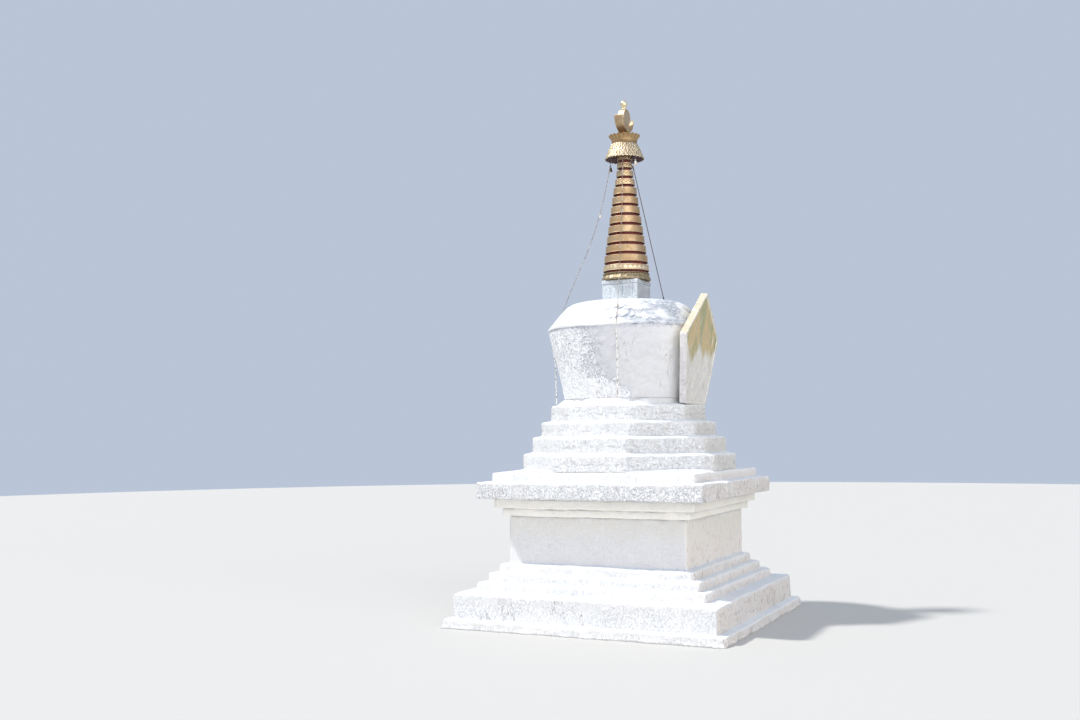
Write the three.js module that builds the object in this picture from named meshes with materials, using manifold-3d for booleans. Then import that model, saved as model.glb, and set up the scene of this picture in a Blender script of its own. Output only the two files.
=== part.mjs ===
// Whitewashed stupa of stepped plinths, a throne block, eight-sided tiers, a vase-shaped dome with a
// niche plate on its front, and a gilt spire of thirteen rings under a canopy with two hanging bells.
// Millimetres, +Z up. The origin is the middle of the base at ground level. The niche faces -Y.

import * as THREE from 'three';
import { mergeVertices } from 'three/addons/utils/BufferGeometryUtils.js';
import Module from 'manifold-3d';

const wasm = await Module();
wasm.setup();

// Driving dimensions

// The gap left between pieces that rest on each other.
const SEAT = 0.3;

// Square tiers from the ground up: half width, height of the top's outer edge, and how far the top rises
// from that edge to the foot of the tier above.
const SQUARE_TIERS = [
  { name: 'ground_plinth', half: 2700, edge: 166, rise: 14 },
  { name: 'base_plinth', half: 2534, edge: 622, rise: 28 },
  { name: 'base_step_lower', half: 2226, edge: 792, rise: 18 },
  { name: 'base_step_middle', half: 2064, edge: 958, rise: 18 },
  { name: 'base_step_upper', half: 1901, edge: 1116, rise: 18 },
  { name: 'throne_block', half: 1750, edge: 2017, rise: 0 },
  { name: 'corbel_lower', half: 1854, edge: 2162, rise: 0 },
  { name: 'corbel_upper', half: 1970, edge: 2343, rise: 0 },
  { name: 'cornice_slab', half: 2219, edge: 2650, rise: 22 },
];

// The last square step: its top rises from the square edge to the foot of the first eight-sided tier.
const UPPER_STEP = { half: 1997, corner: 24, edge: 2821, rise: 62 };

// Eight-sided tiers: half width, length cut from each corner, height of the outer edge, rise to the foot.
const OCTAGON_TIERS = [
  { name: 'octagon_tier_1', half: 1959, cut: 1229, edge: 3144, rise: 46 },
  { name: 'octagon_tier_2', half: 1800, cut: 1170, edge: 3464, rise: 44 },
  { name: 'octagon_tier_3', half: 1595, cut: 952, edge: 3756, rise: 44 },
  { name: 'octagon_tier_4', half: 1402, cut: 772, edge: 4083, rise: 14 },
];

// The flat middle of the last tier's top, which the round foot of the vase stands on.
const VASE_SEAT = { half: 1262, cut: 700 };

const VASE_SIDES = 48;
const VASE_FOOT = { radius: 1228, height: 135, lip: 18 };

// Radius and height of the vase wall from its neck to the ridge, and of the shoulder above the ridge.
const VASE_WALL = [[1249, 4233], [1323, 4604], [1391, 4904], [1473, 5203], [1521, 5440], [1530, 5530]];
const RIDGE = { radius: 1551, low: 5548, high: 5590, overhang: 20 };
const SHOULDER = [
  [1500, 5638], [1392, 5780], [1265, 5932], [1150, 6036], [1030, 6086], [860, 6110], [640, 6122],
];

const HARMIKA = { half: 369, top: 6458, capHalf: 376, capTop: 6540 };

// Spire: a lotus ring, then thirteen rings on a tapering core that carries the canopy.
const SPIRE_SIDES = 32;
const LOTUS = { radius: 466, waist: 440, height: 148, flutes: 24, depth: 12 };
const FIRST_GAP = 6700;
const RING_PITCHES = [168, 195, 195, 195, 195, 195, 195, 195, 195, 172, 172, 162, 150];
const RING_RADII = [452, 428, 400, 372, 344, 316, 288, 260, 232, 196, 168, 152, 144];
const RING_GAP = 50;
const RING_TAPER = 0.07;
const CORE_INSET = 52;

// Canopy: a thin open skirt with a flat top, scalloped at the rim, over the neck of the spire.
const CANOPY = { rim: 385, rimBottom: 8985, top: 9300, topRadius: 256, skin: 8, scallops: 32, depth: 7 };
const CROWN = { foot: 250, waist: 251, lip: 315, tip: 9478, valley: 9450, floor: 9400, petals: 20 };
const MOON = {
  half: 300, innerHalf: 285, top: 9830, depth: 308, innerDepth: 175, thick: 185,
  footTop: 70, footBottom: 90, footHeight: 150,
};
const SUN = { radius: 172, thick: 150 };
const JEWEL = { radius: 71, height: 192, foot: 46, neck: 40 };

// Niche plate: a shield that stands on the front edge of the top tier and leans outwards.
const NICHE = {
  footHalf: 597, shoulderHalf: 982, shoulder: 1298, apex: 2139, thick: 118, lean: 7.4, footY: -1380,
  border: 58, lip: 14, footGap: 3,
};

// Two bells on opposite sides of the canopy, each on a wire hanger below the rim.
const BELL = {
  mouth: 42, waist: 27, crown: 15, height: 84, wall: 4, tab: 20, tabThick: 6, hole: 9, sides: 16,
};
const BELL_RADIUS = 378;
const BELL_EYE = { radius: 17, wire: 4, drop: 60 };
const BELL_ANGLES = { bell_back: 70, bell_front: 235 };

// Chains from the canopy over the shoulder to the top tier: compass angle about the axis from +X.
const CHAIN_ANGLES = { chain_right: 14, chain_back: 104, chain_left: 194 };
const CHAIN_RADIUS = 9;
// Distance from the axis and height along each chain, from the canopy top to the top tier.
const CHAIN_ROUTE = [
  [216, 9290], [250, 9100], [340, 8600], [510, 7880], [760, 7180], [1040, 6560], [1262, 6030],
  [1306, 5915], [1401, 5788], [1509, 5646], [1562, 5594], [1562, 5550], [1446, 4960], [1440, 4600],
  [1432, 4200], [1430, 4087],
];
const GUY = { angle: 284, radius: 8, top: [163, 8850], foot: [745, 6118.7] };

// Colours and surface of each material

function surface(color, roughness, metalness) {
  return new THREE.MeshStandardMaterial({ color, roughness, metalness });
}

const WHITEWASH = surface(0xe6e4de, 0.92, 0);
const NICHE_PLASTER = surface(0xcfc6a8, 0.9, 0);
const GILT = surface(0xc9a348, 0.34, 1);
const CORE_RED = surface(0x5a1512, 0.6, 0);
const CHAIN_STEEL = surface(0x55504c, 0.6, 0.8);
const BELL_BRONZE = surface(0x8c7442, 0.45, 1);

const stupa = new THREE.Group();
stupa.name = 'stupa';

function place(name, geometry, material) {
  const mesh = new THREE.Mesh(geometry, material);
  mesh.name = name;
  stupa.add(mesh);
  return mesh;
}

// Shapes

const radians = THREE.MathUtils.degToRad;

// A closed body through a stack of outlines with equal numbers of points, each a list of [x, y, z].
// With capped set, the first and last outlines are closed by fans about their middles. Otherwise the
// last outline joins back to the first, as in a ring.
function loft(outlines, capped = true) {
  const sides = outlines[0].length;
  const positions = outlines.flat(2);
  const index = [];
  const bands = capped ? outlines.length - 1 : outlines.length;
  for (let band = 0; band < bands; band += 1) {
    const low = band * sides;
    const high = ((band + 1) % outlines.length) * sides;
    for (let side = 0; side < sides; side += 1) {
      const next = (side + 1) % sides;
      index.push(low + side, low + next, high + next, low + side, high + next, high + side);
    }
  }
  if (capped) {
    const last = (outlines.length - 1) * sides;
    const bottom = positions.length / 3;
    positions.push(...middle(outlines[0]), ...middle(outlines[outlines.length - 1]));
    for (let side = 0; side < sides; side += 1) {
      const next = (side + 1) % sides;
      index.push(bottom, next, side, bottom + 1, last + side, last + next);
    }
  }
  const geometry = new THREE.BufferGeometry();
  geometry.setAttribute('position', new THREE.Float32BufferAttribute(positions, 3));
  geometry.setIndex(index);
  geometry.computeVertexNormals();
  return geometry;
}

function middle(outline) {
  const sum = outline.reduce((total, p) => [total[0] + p[0], total[1] + p[1], total[2] + p[2]]);
  return sum.map((value) => value / outline.length);
}

function square(half, z) {
  return [[-half, -half, z], [half, -half, z], [half, half, z], [-half, half, z]];
}

function octagon(half, cut, z) {
  const k = half - cut;
  return [
    [-k, -half, z], [k, -half, z], [half, -k, z], [half, k, z],
    [k, half, z], [-k, half, z], [-half, k, z], [-half, -k, z],
  ];
}

function circle(radius, z, sides) {
  return wavyCircle(radius, z, sides, 0, 1);
}

// A circle whose radius rises and falls by depth, waves times round.
function wavyCircle(radius, z, sides, depth, waves) {
  return Array.from({ length: sides }, (_, i) => {
    const angle = (i / sides) * 2 * Math.PI;
    const r = radius + depth * Math.cos(waves * angle);
    return [r * Math.cos(angle), r * Math.sin(angle), z];
  });
}

// A circle whose height rises and falls, waves times round.
function wavyRim(radius, z, sides, depth, waves) {
  return Array.from({ length: sides }, (_, i) => {
    const angle = (i / sides) * 2 * Math.PI;
    return [radius * Math.cos(angle), radius * Math.sin(angle), z + depth * Math.cos(waves * angle)];
  });
}

function solid(geometry) {
  const bare = geometry.clone();
  bare.deleteAttribute('normal');
  bare.deleteAttribute('uv');
  const merged = mergeVertices(bare, 1e-3);
  return new wasm.Manifold(new wasm.Mesh({
    numProp: 3,
    vertProperties: new Float32Array(merged.attributes.position.array),
    triVerts: new Uint32Array(merged.index.array),
  }));
}

function fromSolid(body) {
  const mesh = body.getMesh();
  const geometry = new THREE.BufferGeometry();
  geometry.setAttribute('position', new THREE.BufferAttribute(mesh.vertProperties, 3));
  geometry.setIndex(new THREE.BufferAttribute(mesh.triVerts, 1));
  geometry.computeVertexNormals();
  return geometry;
}

// A tube of eight sides in the upright plane at the given angle about the axis. Its route is a list of
// distances from the axis and heights, and each section stands square to the route.
function uprightTube(route, angle, radius) {
  const out = new THREE.Vector3(Math.cos(radians(angle)), Math.sin(radians(angle)), 0);
  const across = new THREE.Vector3(-out.y, out.x, 0);
  const last = route.length - 1;
  const sections = route.map(([r, z], i) => {
    const before = route[Math.max(i - 1, 0)];
    const after = route[Math.min(i + 1, last)];
    const run = new THREE.Vector2(after[0] - before[0], after[1] - before[1]).normalize();
    return Array.from({ length: 8 }, (_, k) => {
      const turn = (k / 8) * 2 * Math.PI;
      const side = radius * Math.cos(turn);
      const point = out.clone().multiplyScalar(r + run.y * side);
      point.addScaledVector(across, radius * Math.sin(turn));
      point.z = z - run.x * side;
      return point.toArray();
    });
  });
  return loft(sections);
}

// Square and eight-sided tiers. The flat middle of each top carries the foot of the next tier.

function stackTiers(tiers, ground, outlineOf, lastFoot) {
  let bottom = ground;
  tiers.forEach((tier, i) => {
    const above = tiers[i + 1];
    const foot = above ? above : lastFoot;
    const outlines = [outlineOf(tier, bottom), outlineOf(tier, tier.edge)];
    if (tier.rise > 0) {
      outlines.push(outlineOf(foot, tier.edge + tier.rise));
    }
    place(tier.name, loft(outlines), WHITEWASH);
    bottom = tier.edge + tier.rise + SEAT;
  });
  return bottom;
}

const squareOutline = (tier, z) => square(tier.half, z);
const octagonOutline = (tier, z) => octagon(tier.half, tier.cut, z);

const upperStepBase = stackTiers(SQUARE_TIERS, 0, squareOutline, UPPER_STEP);
const upperStepTop = UPPER_STEP.edge + UPPER_STEP.rise;
place('cornice_upper_step', loft([
  octagon(UPPER_STEP.half, UPPER_STEP.corner, upperStepBase),
  octagon(UPPER_STEP.half, UPPER_STEP.corner, UPPER_STEP.edge),
  octagon(OCTAGON_TIERS[0].half, OCTAGON_TIERS[0].cut, upperStepTop),
]), WHITEWASH);

const octagonBase = upperStepTop + SEAT;
const vaseBase = stackTiers(OCTAGON_TIERS, octagonBase, octagonOutline, VASE_SEAT);

// Vase: a round foot, the wall that widens to a sharp ridge, and the shoulder above it.

const vaseFootTop = vaseBase + VASE_FOOT.height;
place('vase_foot_ring', loft([
  circle(VASE_FOOT.radius - VASE_FOOT.lip, vaseBase, VASE_SIDES),
  circle(VASE_FOOT.radius, vaseBase + VASE_FOOT.lip, VASE_SIDES),
  circle(VASE_FOOT.radius, vaseFootTop - VASE_FOOT.lip, VASE_SIDES),
  circle(VASE_FOOT.radius - VASE_FOOT.lip, vaseFootTop, VASE_SIDES),
]), WHITEWASH);

const wallOutlines = VASE_WALL.map(([radius, z], i) => (
  circle(radius, i === 0 ? vaseFootTop + SEAT : z, VASE_SIDES)));
wallOutlines.push(circle(RIDGE.radius - RIDGE.overhang, RIDGE.low, VASE_SIDES));
place('vase_body', loft(wallOutlines), WHITEWASH);

const shoulderOutlines = SHOULDER.map(([radius, z]) => circle(radius, z, VASE_SIDES));
place('vase_shoulder', loft([
  circle(RIDGE.radius - 6, RIDGE.low + SEAT, VASE_SIDES),
  circle(RIDGE.radius, RIDGE.high - 12, VASE_SIDES),
  circle(RIDGE.radius - 14, RIDGE.high, VASE_SIDES),
  ...shoulderOutlines,
]), WHITEWASH);

const shoulderTop = SHOULDER[SHOULDER.length - 1][1];
place('harmika_block', loft([
  square(HARMIKA.half, shoulderTop + SEAT),
  square(HARMIKA.half, HARMIKA.top),
]), WHITEWASH);
place('harmika_cap', loft([
  square(HARMIKA.capHalf, HARMIKA.top + SEAT),
  square(HARMIKA.capHalf, HARMIKA.capTop - 12),
  square(HARMIKA.capHalf - 8, HARMIKA.capTop),
]), WHITEWASH);

// Spire: every ring is a flat band round the red core, which shows in the gaps.

// The middle of the gap below each ring, then of the gap above the last one.
const gapHeights = [FIRST_GAP];
for (const pitch of RING_PITCHES) {
  gapHeights.push(gapHeights[gapHeights.length - 1] + pitch);
}

// The core's radius at each gap: it tapers evenly from one gap to the next.
const lastRing = RING_RADII.length - 1;
const coreRadii = gapHeights.map((_, i) => {
  const below = RING_RADII[Math.max(i - 1, 0)];
  const above = RING_RADII[Math.min(i, lastRing)];
  return (below + above) / 2 - CORE_INSET;
});

function coreRadiusAt(i, z) {
  const share = (z - gapHeights[i]) / (gapHeights[i + 1] - gapHeights[i]);
  return THREE.MathUtils.lerp(coreRadii[i], coreRadii[i + 1], share);
}

function ringBand(i) {
  const low = gapHeights[i] + RING_GAP / 2;
  const high = gapHeights[i + 1] - RING_GAP / 2;
  const lean = RING_TAPER * (high - low) / 2;
  return loft([
    circle(RING_RADII[i] + lean, low, SPIRE_SIDES),
    circle(RING_RADII[i] - lean, high, SPIRE_SIDES),
    circle(coreRadiusAt(i, high) + SEAT, high, SPIRE_SIDES),
    circle(coreRadiusAt(i, low) + SEAT, low, SPIRE_SIDES),
  ], false);
}

const lotusBase = HARMIKA.capTop + SEAT;
const lotusTop = lotusBase + LOTUS.height;
const lotusSides = LOTUS.flutes * 2;
place('lotus_ring', loft([
  wavyCircle(LOTUS.radius - 10, lotusBase, lotusSides, LOTUS.depth, LOTUS.flutes),
  wavyCircle(LOTUS.radius, lotusBase + 16, lotusSides, LOTUS.depth, LOTUS.flutes),
  wavyCircle(LOTUS.waist, lotusBase + LOTUS.height * 0.62, lotusSides, LOTUS.depth, LOTUS.flutes),
  wavyCircle(LOTUS.waist + 14, lotusTop - 22, lotusSides, 0, LOTUS.flutes),
  wavyCircle(LOTUS.waist + 8, lotusTop, lotusSides, 0, LOTUS.flutes),
]), GILT);

const canopyUnderside = CANOPY.top - CANOPY.skin;
place('spire_core', loft([
  circle(coreRadii[0], lotusTop + SEAT, SPIRE_SIDES),
  ...gapHeights.map((z, i) => circle(coreRadii[i], z, SPIRE_SIDES)),
  circle(coreRadii[gapHeights.length - 1], canopyUnderside - SEAT, SPIRE_SIDES),
]), CORE_RED);

RING_RADII.forEach((_, i) => {
  place(`spire_ring_${String(i + 1).padStart(2, '0')}`, ringBand(i), GILT);
});

// Canopy: the skirt is a thin skin, open below, with a hanger for each bell on its rim.

const canopySides = CANOPY.scallops * 2;
const canopyMid = { radius: 318, z: CANOPY.rimBottom + 170 };
const canopyShell = loft([
  wavyRim(CANOPY.rim, CANOPY.rimBottom, canopySides, CANOPY.depth, CANOPY.scallops),
  circle(CANOPY.rim - 6, CANOPY.rimBottom + 30, canopySides),
  circle(canopyMid.radius, canopyMid.z, canopySides),
  circle(CANOPY.topRadius, CANOPY.top, canopySides),
  circle(4, CANOPY.top, canopySides),
  circle(4, canopyUnderside, canopySides),
  circle(CANOPY.topRadius - CANOPY.skin - 2, canopyUnderside, canopySides),
  circle(canopyMid.radius - CANOPY.skin, canopyMid.z, canopySides),
  circle(CANOPY.rim - 6 - CANOPY.skin, CANOPY.rimBottom + 30, canopySides),
  wavyRim(CANOPY.rim - CANOPY.skin, CANOPY.rimBottom, canopySides, CANOPY.depth, CANOPY.scallops),
], false);

// Each hanger is a straight wire down from the rim that ends in an eye, a ring of wire that stands across
// the radius. The bell turns about the wire at the bottom of the eye, where the ring has a straight side.
const eyeSides = 16;
const eyeDrop = BELL_EYE.radius * Math.cos(Math.PI / eyeSides);
const hangerTop = CANOPY.rimBottom + 14;
const eyeZ = CANOPY.rimBottom - BELL_EYE.drop;
const pivotZ = eyeZ - eyeDrop;

function bellEye(angle) {
  const eye = new THREE.TorusGeometry(BELL_EYE.radius, BELL_EYE.wire, 8, eyeSides);
  eye.rotateZ(Math.PI / eyeSides);
  eye.rotateX(Math.PI / 2);
  eye.rotateZ(Math.PI / 2);
  eye.translate(BELL_RADIUS, 0, eyeZ);
  eye.rotateZ(radians(angle));
  return solid(eye);
}

function bellHanger(angle) {
  const bottom = eyeZ + BELL_EYE.radius;
  const hanger = new THREE.CylinderGeometry(BELL_EYE.wire, BELL_EYE.wire, hangerTop - bottom, 12);
  hanger.rotateX(Math.PI / 2);
  hanger.translate(BELL_RADIUS, 0, (hangerTop + bottom) / 2);
  hanger.rotateZ(radians(angle));
  return solid(hanger);
}

let canopyBody = solid(canopyShell);
for (const angle of Object.values(BELL_ANGLES)) {
  canopyBody = canopyBody.add(bellEye(angle)).add(bellHanger(angle));
}
place('canopy', fromSolid(canopyBody), GILT);

// Each bell is an open cup with a tab on its crown. The eye's wire passes through the tab's hole and
// carries the hole's upper edge.
function bellBody() {
  const tabZ = pivotZ - (BELL.hole - BELL_EYE.wire - SEAT);
  const top = tabZ - BELL.hole - 4;
  const mouthZ = top - BELL.height;
  const wall = [
    [BELL.crown, top - BELL.wall], [BELL.waist - 3, top - 14], [BELL.waist, top - 36],
    [BELL.waist + 5, top - 62], [BELL.mouth, mouthZ],
  ];
  const inside = wall.map(([r, z]) => circle(r - BELL.wall, z, BELL.sides));
  const outside = wall.slice(1).reverse().map(([r, z]) => circle(r, z, BELL.sides));
  const cup = loft([...inside, ...outside, circle(BELL.crown, top, BELL.sides)]);

  const outline = new THREE.Shape();
  outline.absarc(0, 0, BELL.tab, 0, 2 * Math.PI, false);
  const hole = new THREE.Path();
  hole.absarc(0, 0, BELL.hole, 0, 2 * Math.PI, true);
  outline.holes.push(hole);
  const tab = new THREE.ExtrudeGeometry(outline, {
    depth: BELL.tabThick, bevelEnabled: false, curveSegments: 8,
  });
  tab.translate(0, 0, -BELL.tabThick / 2);
  tab.rotateX(Math.PI / 2);
  tab.translate(0, 0, tabZ);
  return solid(cup).add(solid(tab));
}

const bellGeometry = fromSolid(bellBody());
for (const [name, angle] of Object.entries(BELL_ANGLES)) {
  const bell = place(name, bellGeometry, BELL_BRONZE);
  bell.rotation.z = radians(angle);
  bell.position.set(BELL_RADIUS * Math.cos(radians(angle)), BELL_RADIUS * Math.sin(radians(angle)), 0);
}

// Crown, crescent moon, sun and jewel

const crownSides = CROWN.petals * 2;
const crownBase = CANOPY.top + SEAT;
const petalDepth = (CROWN.tip - CROWN.valley) / 2;
place('crown', loft([
  circle(CROWN.foot - 10, crownBase, crownSides),
  circle(CROWN.foot, crownBase + 12, crownSides),
  circle(CROWN.waist, crownBase + 50, crownSides),
  wavyRim(CROWN.lip, CROWN.tip - petalDepth, crownSides, petalDepth, CROWN.petals),
  wavyRim(CROWN.lip - 10, CROWN.tip - petalDepth, crownSides, petalDepth, CROWN.petals),
  circle(CROWN.waist - 6, CROWN.floor, crownSides),
]), GILT);

// The crescent lies between the lower halves of two ellipses about the middle of its tips.
function crescent() {
  const outline = new THREE.Shape();
  outline.absellipse(0, MOON.top, MOON.half, MOON.depth, Math.PI, 2 * Math.PI, false);
  outline.lineTo(MOON.innerHalf, MOON.top);
  outline.absellipse(0, MOON.top, MOON.innerHalf, MOON.innerDepth, 0, Math.PI, true);
  outline.closePath();
  const body = new THREE.ExtrudeGeometry(outline, {
    depth: MOON.thick, bevelEnabled: false, curveSegments: 20,
  });
  body.rotateX(Math.PI / 2);
  body.translate(0, MOON.thick / 2, 0);
  return body;
}

// The crescent stands in the crown on a short round foot.
const moonFoot = new THREE.CylinderGeometry(MOON.footTop, MOON.footBottom, MOON.footHeight, 24);
moonFoot.rotateX(Math.PI / 2);
moonFoot.translate(0, 0, CROWN.floor + SEAT + MOON.footHeight / 2);
place('moon_crescent', fromSolid(solid(crescent()).add(solid(moonFoot))), GILT);

const sunZ = MOON.top - MOON.innerDepth + SUN.radius + SEAT;
const sun = place('sun_disc', new THREE.CylinderGeometry(SUN.radius, SUN.radius, SUN.thick, 40), GILT);
sun.position.z = sunZ;

const jewelBase = sunZ + SUN.radius + SEAT;
const jewelProfile = [
  [JEWEL.foot, 0], [JEWEL.foot, 14], [JEWEL.neck, 22], [JEWEL.neck, 44], [JEWEL.radius - 13, 60],
  [JEWEL.radius - 2, 84], [JEWEL.radius, 108], [JEWEL.radius - 5, 134], [JEWEL.radius - 17, 158],
  [JEWEL.radius - 37, 180], [8, JEWEL.height],
];
place('jewel', loft(jewelProfile.map(([r, z]) => circle(r, jewelBase + z, 24))), GILT);

// Niche plate: drawn upright as a shield in X and Z, then leaned outwards about its foot. Its back is cut
// away where the vase, grown by the seat gap, stands.

function shield(inset, low) {
  const outline = new THREE.Shape();
  const slope = (NICHE.apex - NICHE.shoulder) / NICHE.shoulderHalf;
  const topInset = inset * Math.hypot(1, slope);
  outline.moveTo(-NICHE.footHalf + inset, low);
  outline.lineTo(NICHE.footHalf - inset, low);
  outline.lineTo(NICHE.shoulderHalf - inset, NICHE.shoulder - inset * 0.3);
  outline.lineTo(0, NICHE.apex - topInset);
  outline.lineTo(-NICHE.shoulderHalf + inset, NICHE.shoulder - inset * 0.3);
  outline.closePath();
  return outline;
}

function leaned(geometry) {
  geometry.rotateX(Math.PI / 2);
  geometry.rotateX(radians(NICHE.lean));
  geometry.translate(0, NICHE.footY, OCTAGON_TIERS[3].edge + NICHE.footGap);
  return geometry;
}

function grown(outlines, margin) {
  return outlines.map((outline) => outline.map(([x, y, z]) => {
    const r = Math.hypot(x, y);
    const scale = r > 0 ? (r + margin) / r : 1;
    return [x * scale, y * scale, z];
  }));
}

const vaseCutter = solid(loft(grown([
  ...wallOutlines,
  circle(RIDGE.radius, RIDGE.low, VASE_SIDES),
  circle(RIDGE.radius, RIDGE.high, VASE_SIDES),
  ...shoulderOutlines,
], SEAT)));

const plate = new THREE.ExtrudeGeometry(shield(0, 0), { depth: NICHE.thick, bevelEnabled: false });
plate.translate(0, 0, -NICHE.thick);
place('niche_plate', fromSolid(solid(leaned(plate)).subtract(vaseCutter)), NICHE_PLASTER);

const border = shield(0, 0);
border.holes.push(shield(NICHE.border, NICHE.border));
const borderBody = new THREE.ExtrudeGeometry(border, { depth: NICHE.lip, bevelEnabled: false });
borderBody.translate(0, 0, SEAT);
place('niche_border', leaned(borderBody), NICHE_PLASTER);

// Chains and guy wire

for (const [name, angle] of Object.entries(CHAIN_ANGLES)) {
  place(name, uprightTube(CHAIN_ROUTE, angle, CHAIN_RADIUS), CHAIN_STEEL);
}
place('guy_wire_front', uprightTube([GUY.top, GUY.foot], GUY.angle, GUY.radius), CHAIN_STEEL);

export default stupa;
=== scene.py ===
"""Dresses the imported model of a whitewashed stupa: lumpy limewashed masonry, a stained niche plate, a gilt
spire of embossed rings, chains of links and small bronze bells. Everything is in metres, in the frame of the
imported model: +Z up, the niche plate faces -Y."""

import itertools
import math

import bpy
import numpy as np
from mathutils import Matrix, Vector


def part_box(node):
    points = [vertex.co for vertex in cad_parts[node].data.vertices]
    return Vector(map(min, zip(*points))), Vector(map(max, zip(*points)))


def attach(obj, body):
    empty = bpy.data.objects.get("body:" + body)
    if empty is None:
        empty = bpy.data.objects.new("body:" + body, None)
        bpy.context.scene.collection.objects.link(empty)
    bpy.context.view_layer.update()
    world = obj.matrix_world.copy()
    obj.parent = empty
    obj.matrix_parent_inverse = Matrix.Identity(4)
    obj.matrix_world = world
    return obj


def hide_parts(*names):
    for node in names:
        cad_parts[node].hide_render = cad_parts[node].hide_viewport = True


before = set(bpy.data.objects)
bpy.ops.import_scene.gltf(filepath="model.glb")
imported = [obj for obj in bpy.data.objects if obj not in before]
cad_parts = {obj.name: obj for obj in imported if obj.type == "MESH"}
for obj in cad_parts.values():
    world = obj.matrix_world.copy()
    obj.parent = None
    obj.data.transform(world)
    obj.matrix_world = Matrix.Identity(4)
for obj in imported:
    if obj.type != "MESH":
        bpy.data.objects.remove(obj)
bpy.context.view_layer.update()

# Sizes of the masonry, in metres

FACE_STEP = 0.0265       # spacing of the points over a wall
TREAD_STEP = 0.03        # spacing of the points over a sloping top
LAP = 0.05               # how far a tier runs on, unseen, under its neighbour
CORNER = 0.030           # rounding of the upright corners
ARRIS = 0.038            # rounding of the top edges
SOFFIT = 0.016           # rounding of the edges that overhang
NOSE = 0.11              # how far from a corner its edges are worn
WEAR_REACH = 0.03        # how far the mark of an edge reaches
JOINT = 0.009            # depth of the joint round the middle of the eight-sided tiers

# The ragged skirt of the lowest tier: the height over which it falls off, how far it spreads, how much that
# varies, and the size of its lumps.
SKIRT = {"fall": 0.04, "spread": 0.022, "ragged": 0.030, "lump": 0.19}

# Each tier from the ground up: how far its top slopes up, how far its corners are knocked off, how rough
# its stones are, and for eight sides how much its corners are cut.
TIERS = {
    "ground_plinth": (0.014, 0.07, 2.0, None),
    "base_plinth": (0.028, 0.03, 1.5, None),
    "base_step_lower": (0.018, 0.07, 1.8, None),
    "base_step_middle": (0.018, 0.07, 1.8, None),
    "base_step_upper": (0.018, 0.05, 1.8, None),
    "throne_block": (0.0, 0.006, 0.7, None),
    "corbel_lower": (0.0, 0.006, 0.7, None),
    "corbel_upper": (0.0, 0.006, 0.7, None),
    "cornice_slab": (0.022, 0.006, 1.8, None),
    "cornice_upper_step": (0.062, 0.006, 1.0, None),
    "octagon_tier_1": (0.046, 0.006, 1.6, 1.229),
    "octagon_tier_2": (0.044, 0.006, 1.6, 1.170),
    "octagon_tier_3": (0.044, 0.006, 1.7, 0.952),
    "octagon_tier_4": (0.014, 0.03, 1.7, 0.772),
}
VASE_SEAT = (1.262, 0.700)                              # outline at which the last top ends: half width, cut
VASE_MIDDLE = 1.45       # radius at which the points round the vase are as far apart as on the tiers

# Radius and height along the vase wall, and over the shoulder above the ridge.
VASE_WALL = [(1.249, 4.205), (1.249, 4.233), (1.323, 4.604), (1.391, 4.904), (1.473, 5.203), (1.521, 5.440),
             (1.532, 5.530), (1.542, 5.551)]
SHOULDER = [(1.528, 5.543), (1.551, 5.552), (1.553, 5.572), (1.546, 5.592), (1.500, 5.638), (1.392, 5.780),
            (1.265, 5.932), (1.150, 6.036), (1.030, 6.086), (0.860, 6.110), (0.640, 6.122), (0.300, 6.124)]
RIDGE = 5.572            # height of the sharp ridge round the vase
LOW_WALL, WALL_FOOT = (4.25, 4.80), (4.30, 4.72)        # heights over which splashed lime thins out
PAINTED_BOUNCE_SPAN = (-0.95, -1.30)                         # Y over which the wall is painted lighter towards -Y: painted light thrown back from the niche
DRIP_ROWS = [(5.745, 76, 0.075), (5.905, 66, 0.060)]    # height, number and depth of the lobes in each row
DRIP_DEPTH = 0.012       # thickness of the lobes
DRIP_BEARING = math.radians(203)                        # where they and their opposites are thickest

# The bank of mortar at the foot of the vase: its height, where it starts and how wide it slopes, and the
# bearings between which it lies, with the angle over which it fades.
BANK = {"rise": 0.105, "outer": 1.400, "width": 0.155, "from": math.radians(52), "to": math.radians(229),
        "fade": math.radians(11)}

# The niche plate, drawn upright from its foot: half width of the foot, half width and height of the
# shoulders, and height of the tip.
NICHE_FOOT, NICHE_SHOULDER, NICHE_APEX = 0.597, (0.982, 1.298), 2.139
NICHE_MIDDLE = 1.0       # height of the point that its outline is measured from
NICHE_THICK, NICHE_BORDER, NICHE_LIP = 0.118, 0.058, 0.014
NICHE_CORNER = 0.014     # rounding of its corners
NICHE_LEAN = math.radians(7.4)
NICHE_FRONT = -1.380     # where the front of its foot stands along Y
STAIN_LINE = 5.12        # height down to which the niche is stained
FINE_STEP = 0.019        # spacing of the points over the niche and the harmika

# Sizes of the spire and its crown

ROUND_SIDES = 192
RING_COUNT, RING_TAPER, RING_DEPTH = 13, 0.07, 0.075
CORE_INSET = 0.056
LOTUS_PETALS, LOTUS_BEADS = 24, 90
CANOPY = {"rim": 0.385, "low": 8.985, "high": 9.300, "top": 0.256, "skin": 0.007, "scallops": 32}
CROWN = {"foot": 0.250, "waist": 0.251, "lip": 0.315, "tip": 9.478, "valley": 9.450, "floor": 9.400,
         "petals": 20}
MOON = {"half": 0.300, "inner_half": 0.285, "top": 9.830, "depth": 0.308, "inner_depth": 0.175,
        "thick": 0.185}
SUN = {"radius": 0.172, "thick": 0.150, "centre": 9.8273}
BELL_RADIUS, BELL_PIVOT = 0.378, 8.908327               # distance from the axis, and height of the hinge
BELL_ANGLES = {"bell_back": 70, "bell_front": 235}
BELL_DROP = 0.0047       # from the pivot down to the middle of the bell's own ring
EYE_RADIUS, EYE_WIRE = 0.017, 0.0038
EYE_MIDDLE = BELL_PIVOT + EYE_RADIUS * math.cos(math.pi / 16)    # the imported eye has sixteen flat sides
WIRE_PAINTED_SHADE = 0.8          # how far the eyes and their hangers take the dark inside colour: painted shade under the canopy
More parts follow.
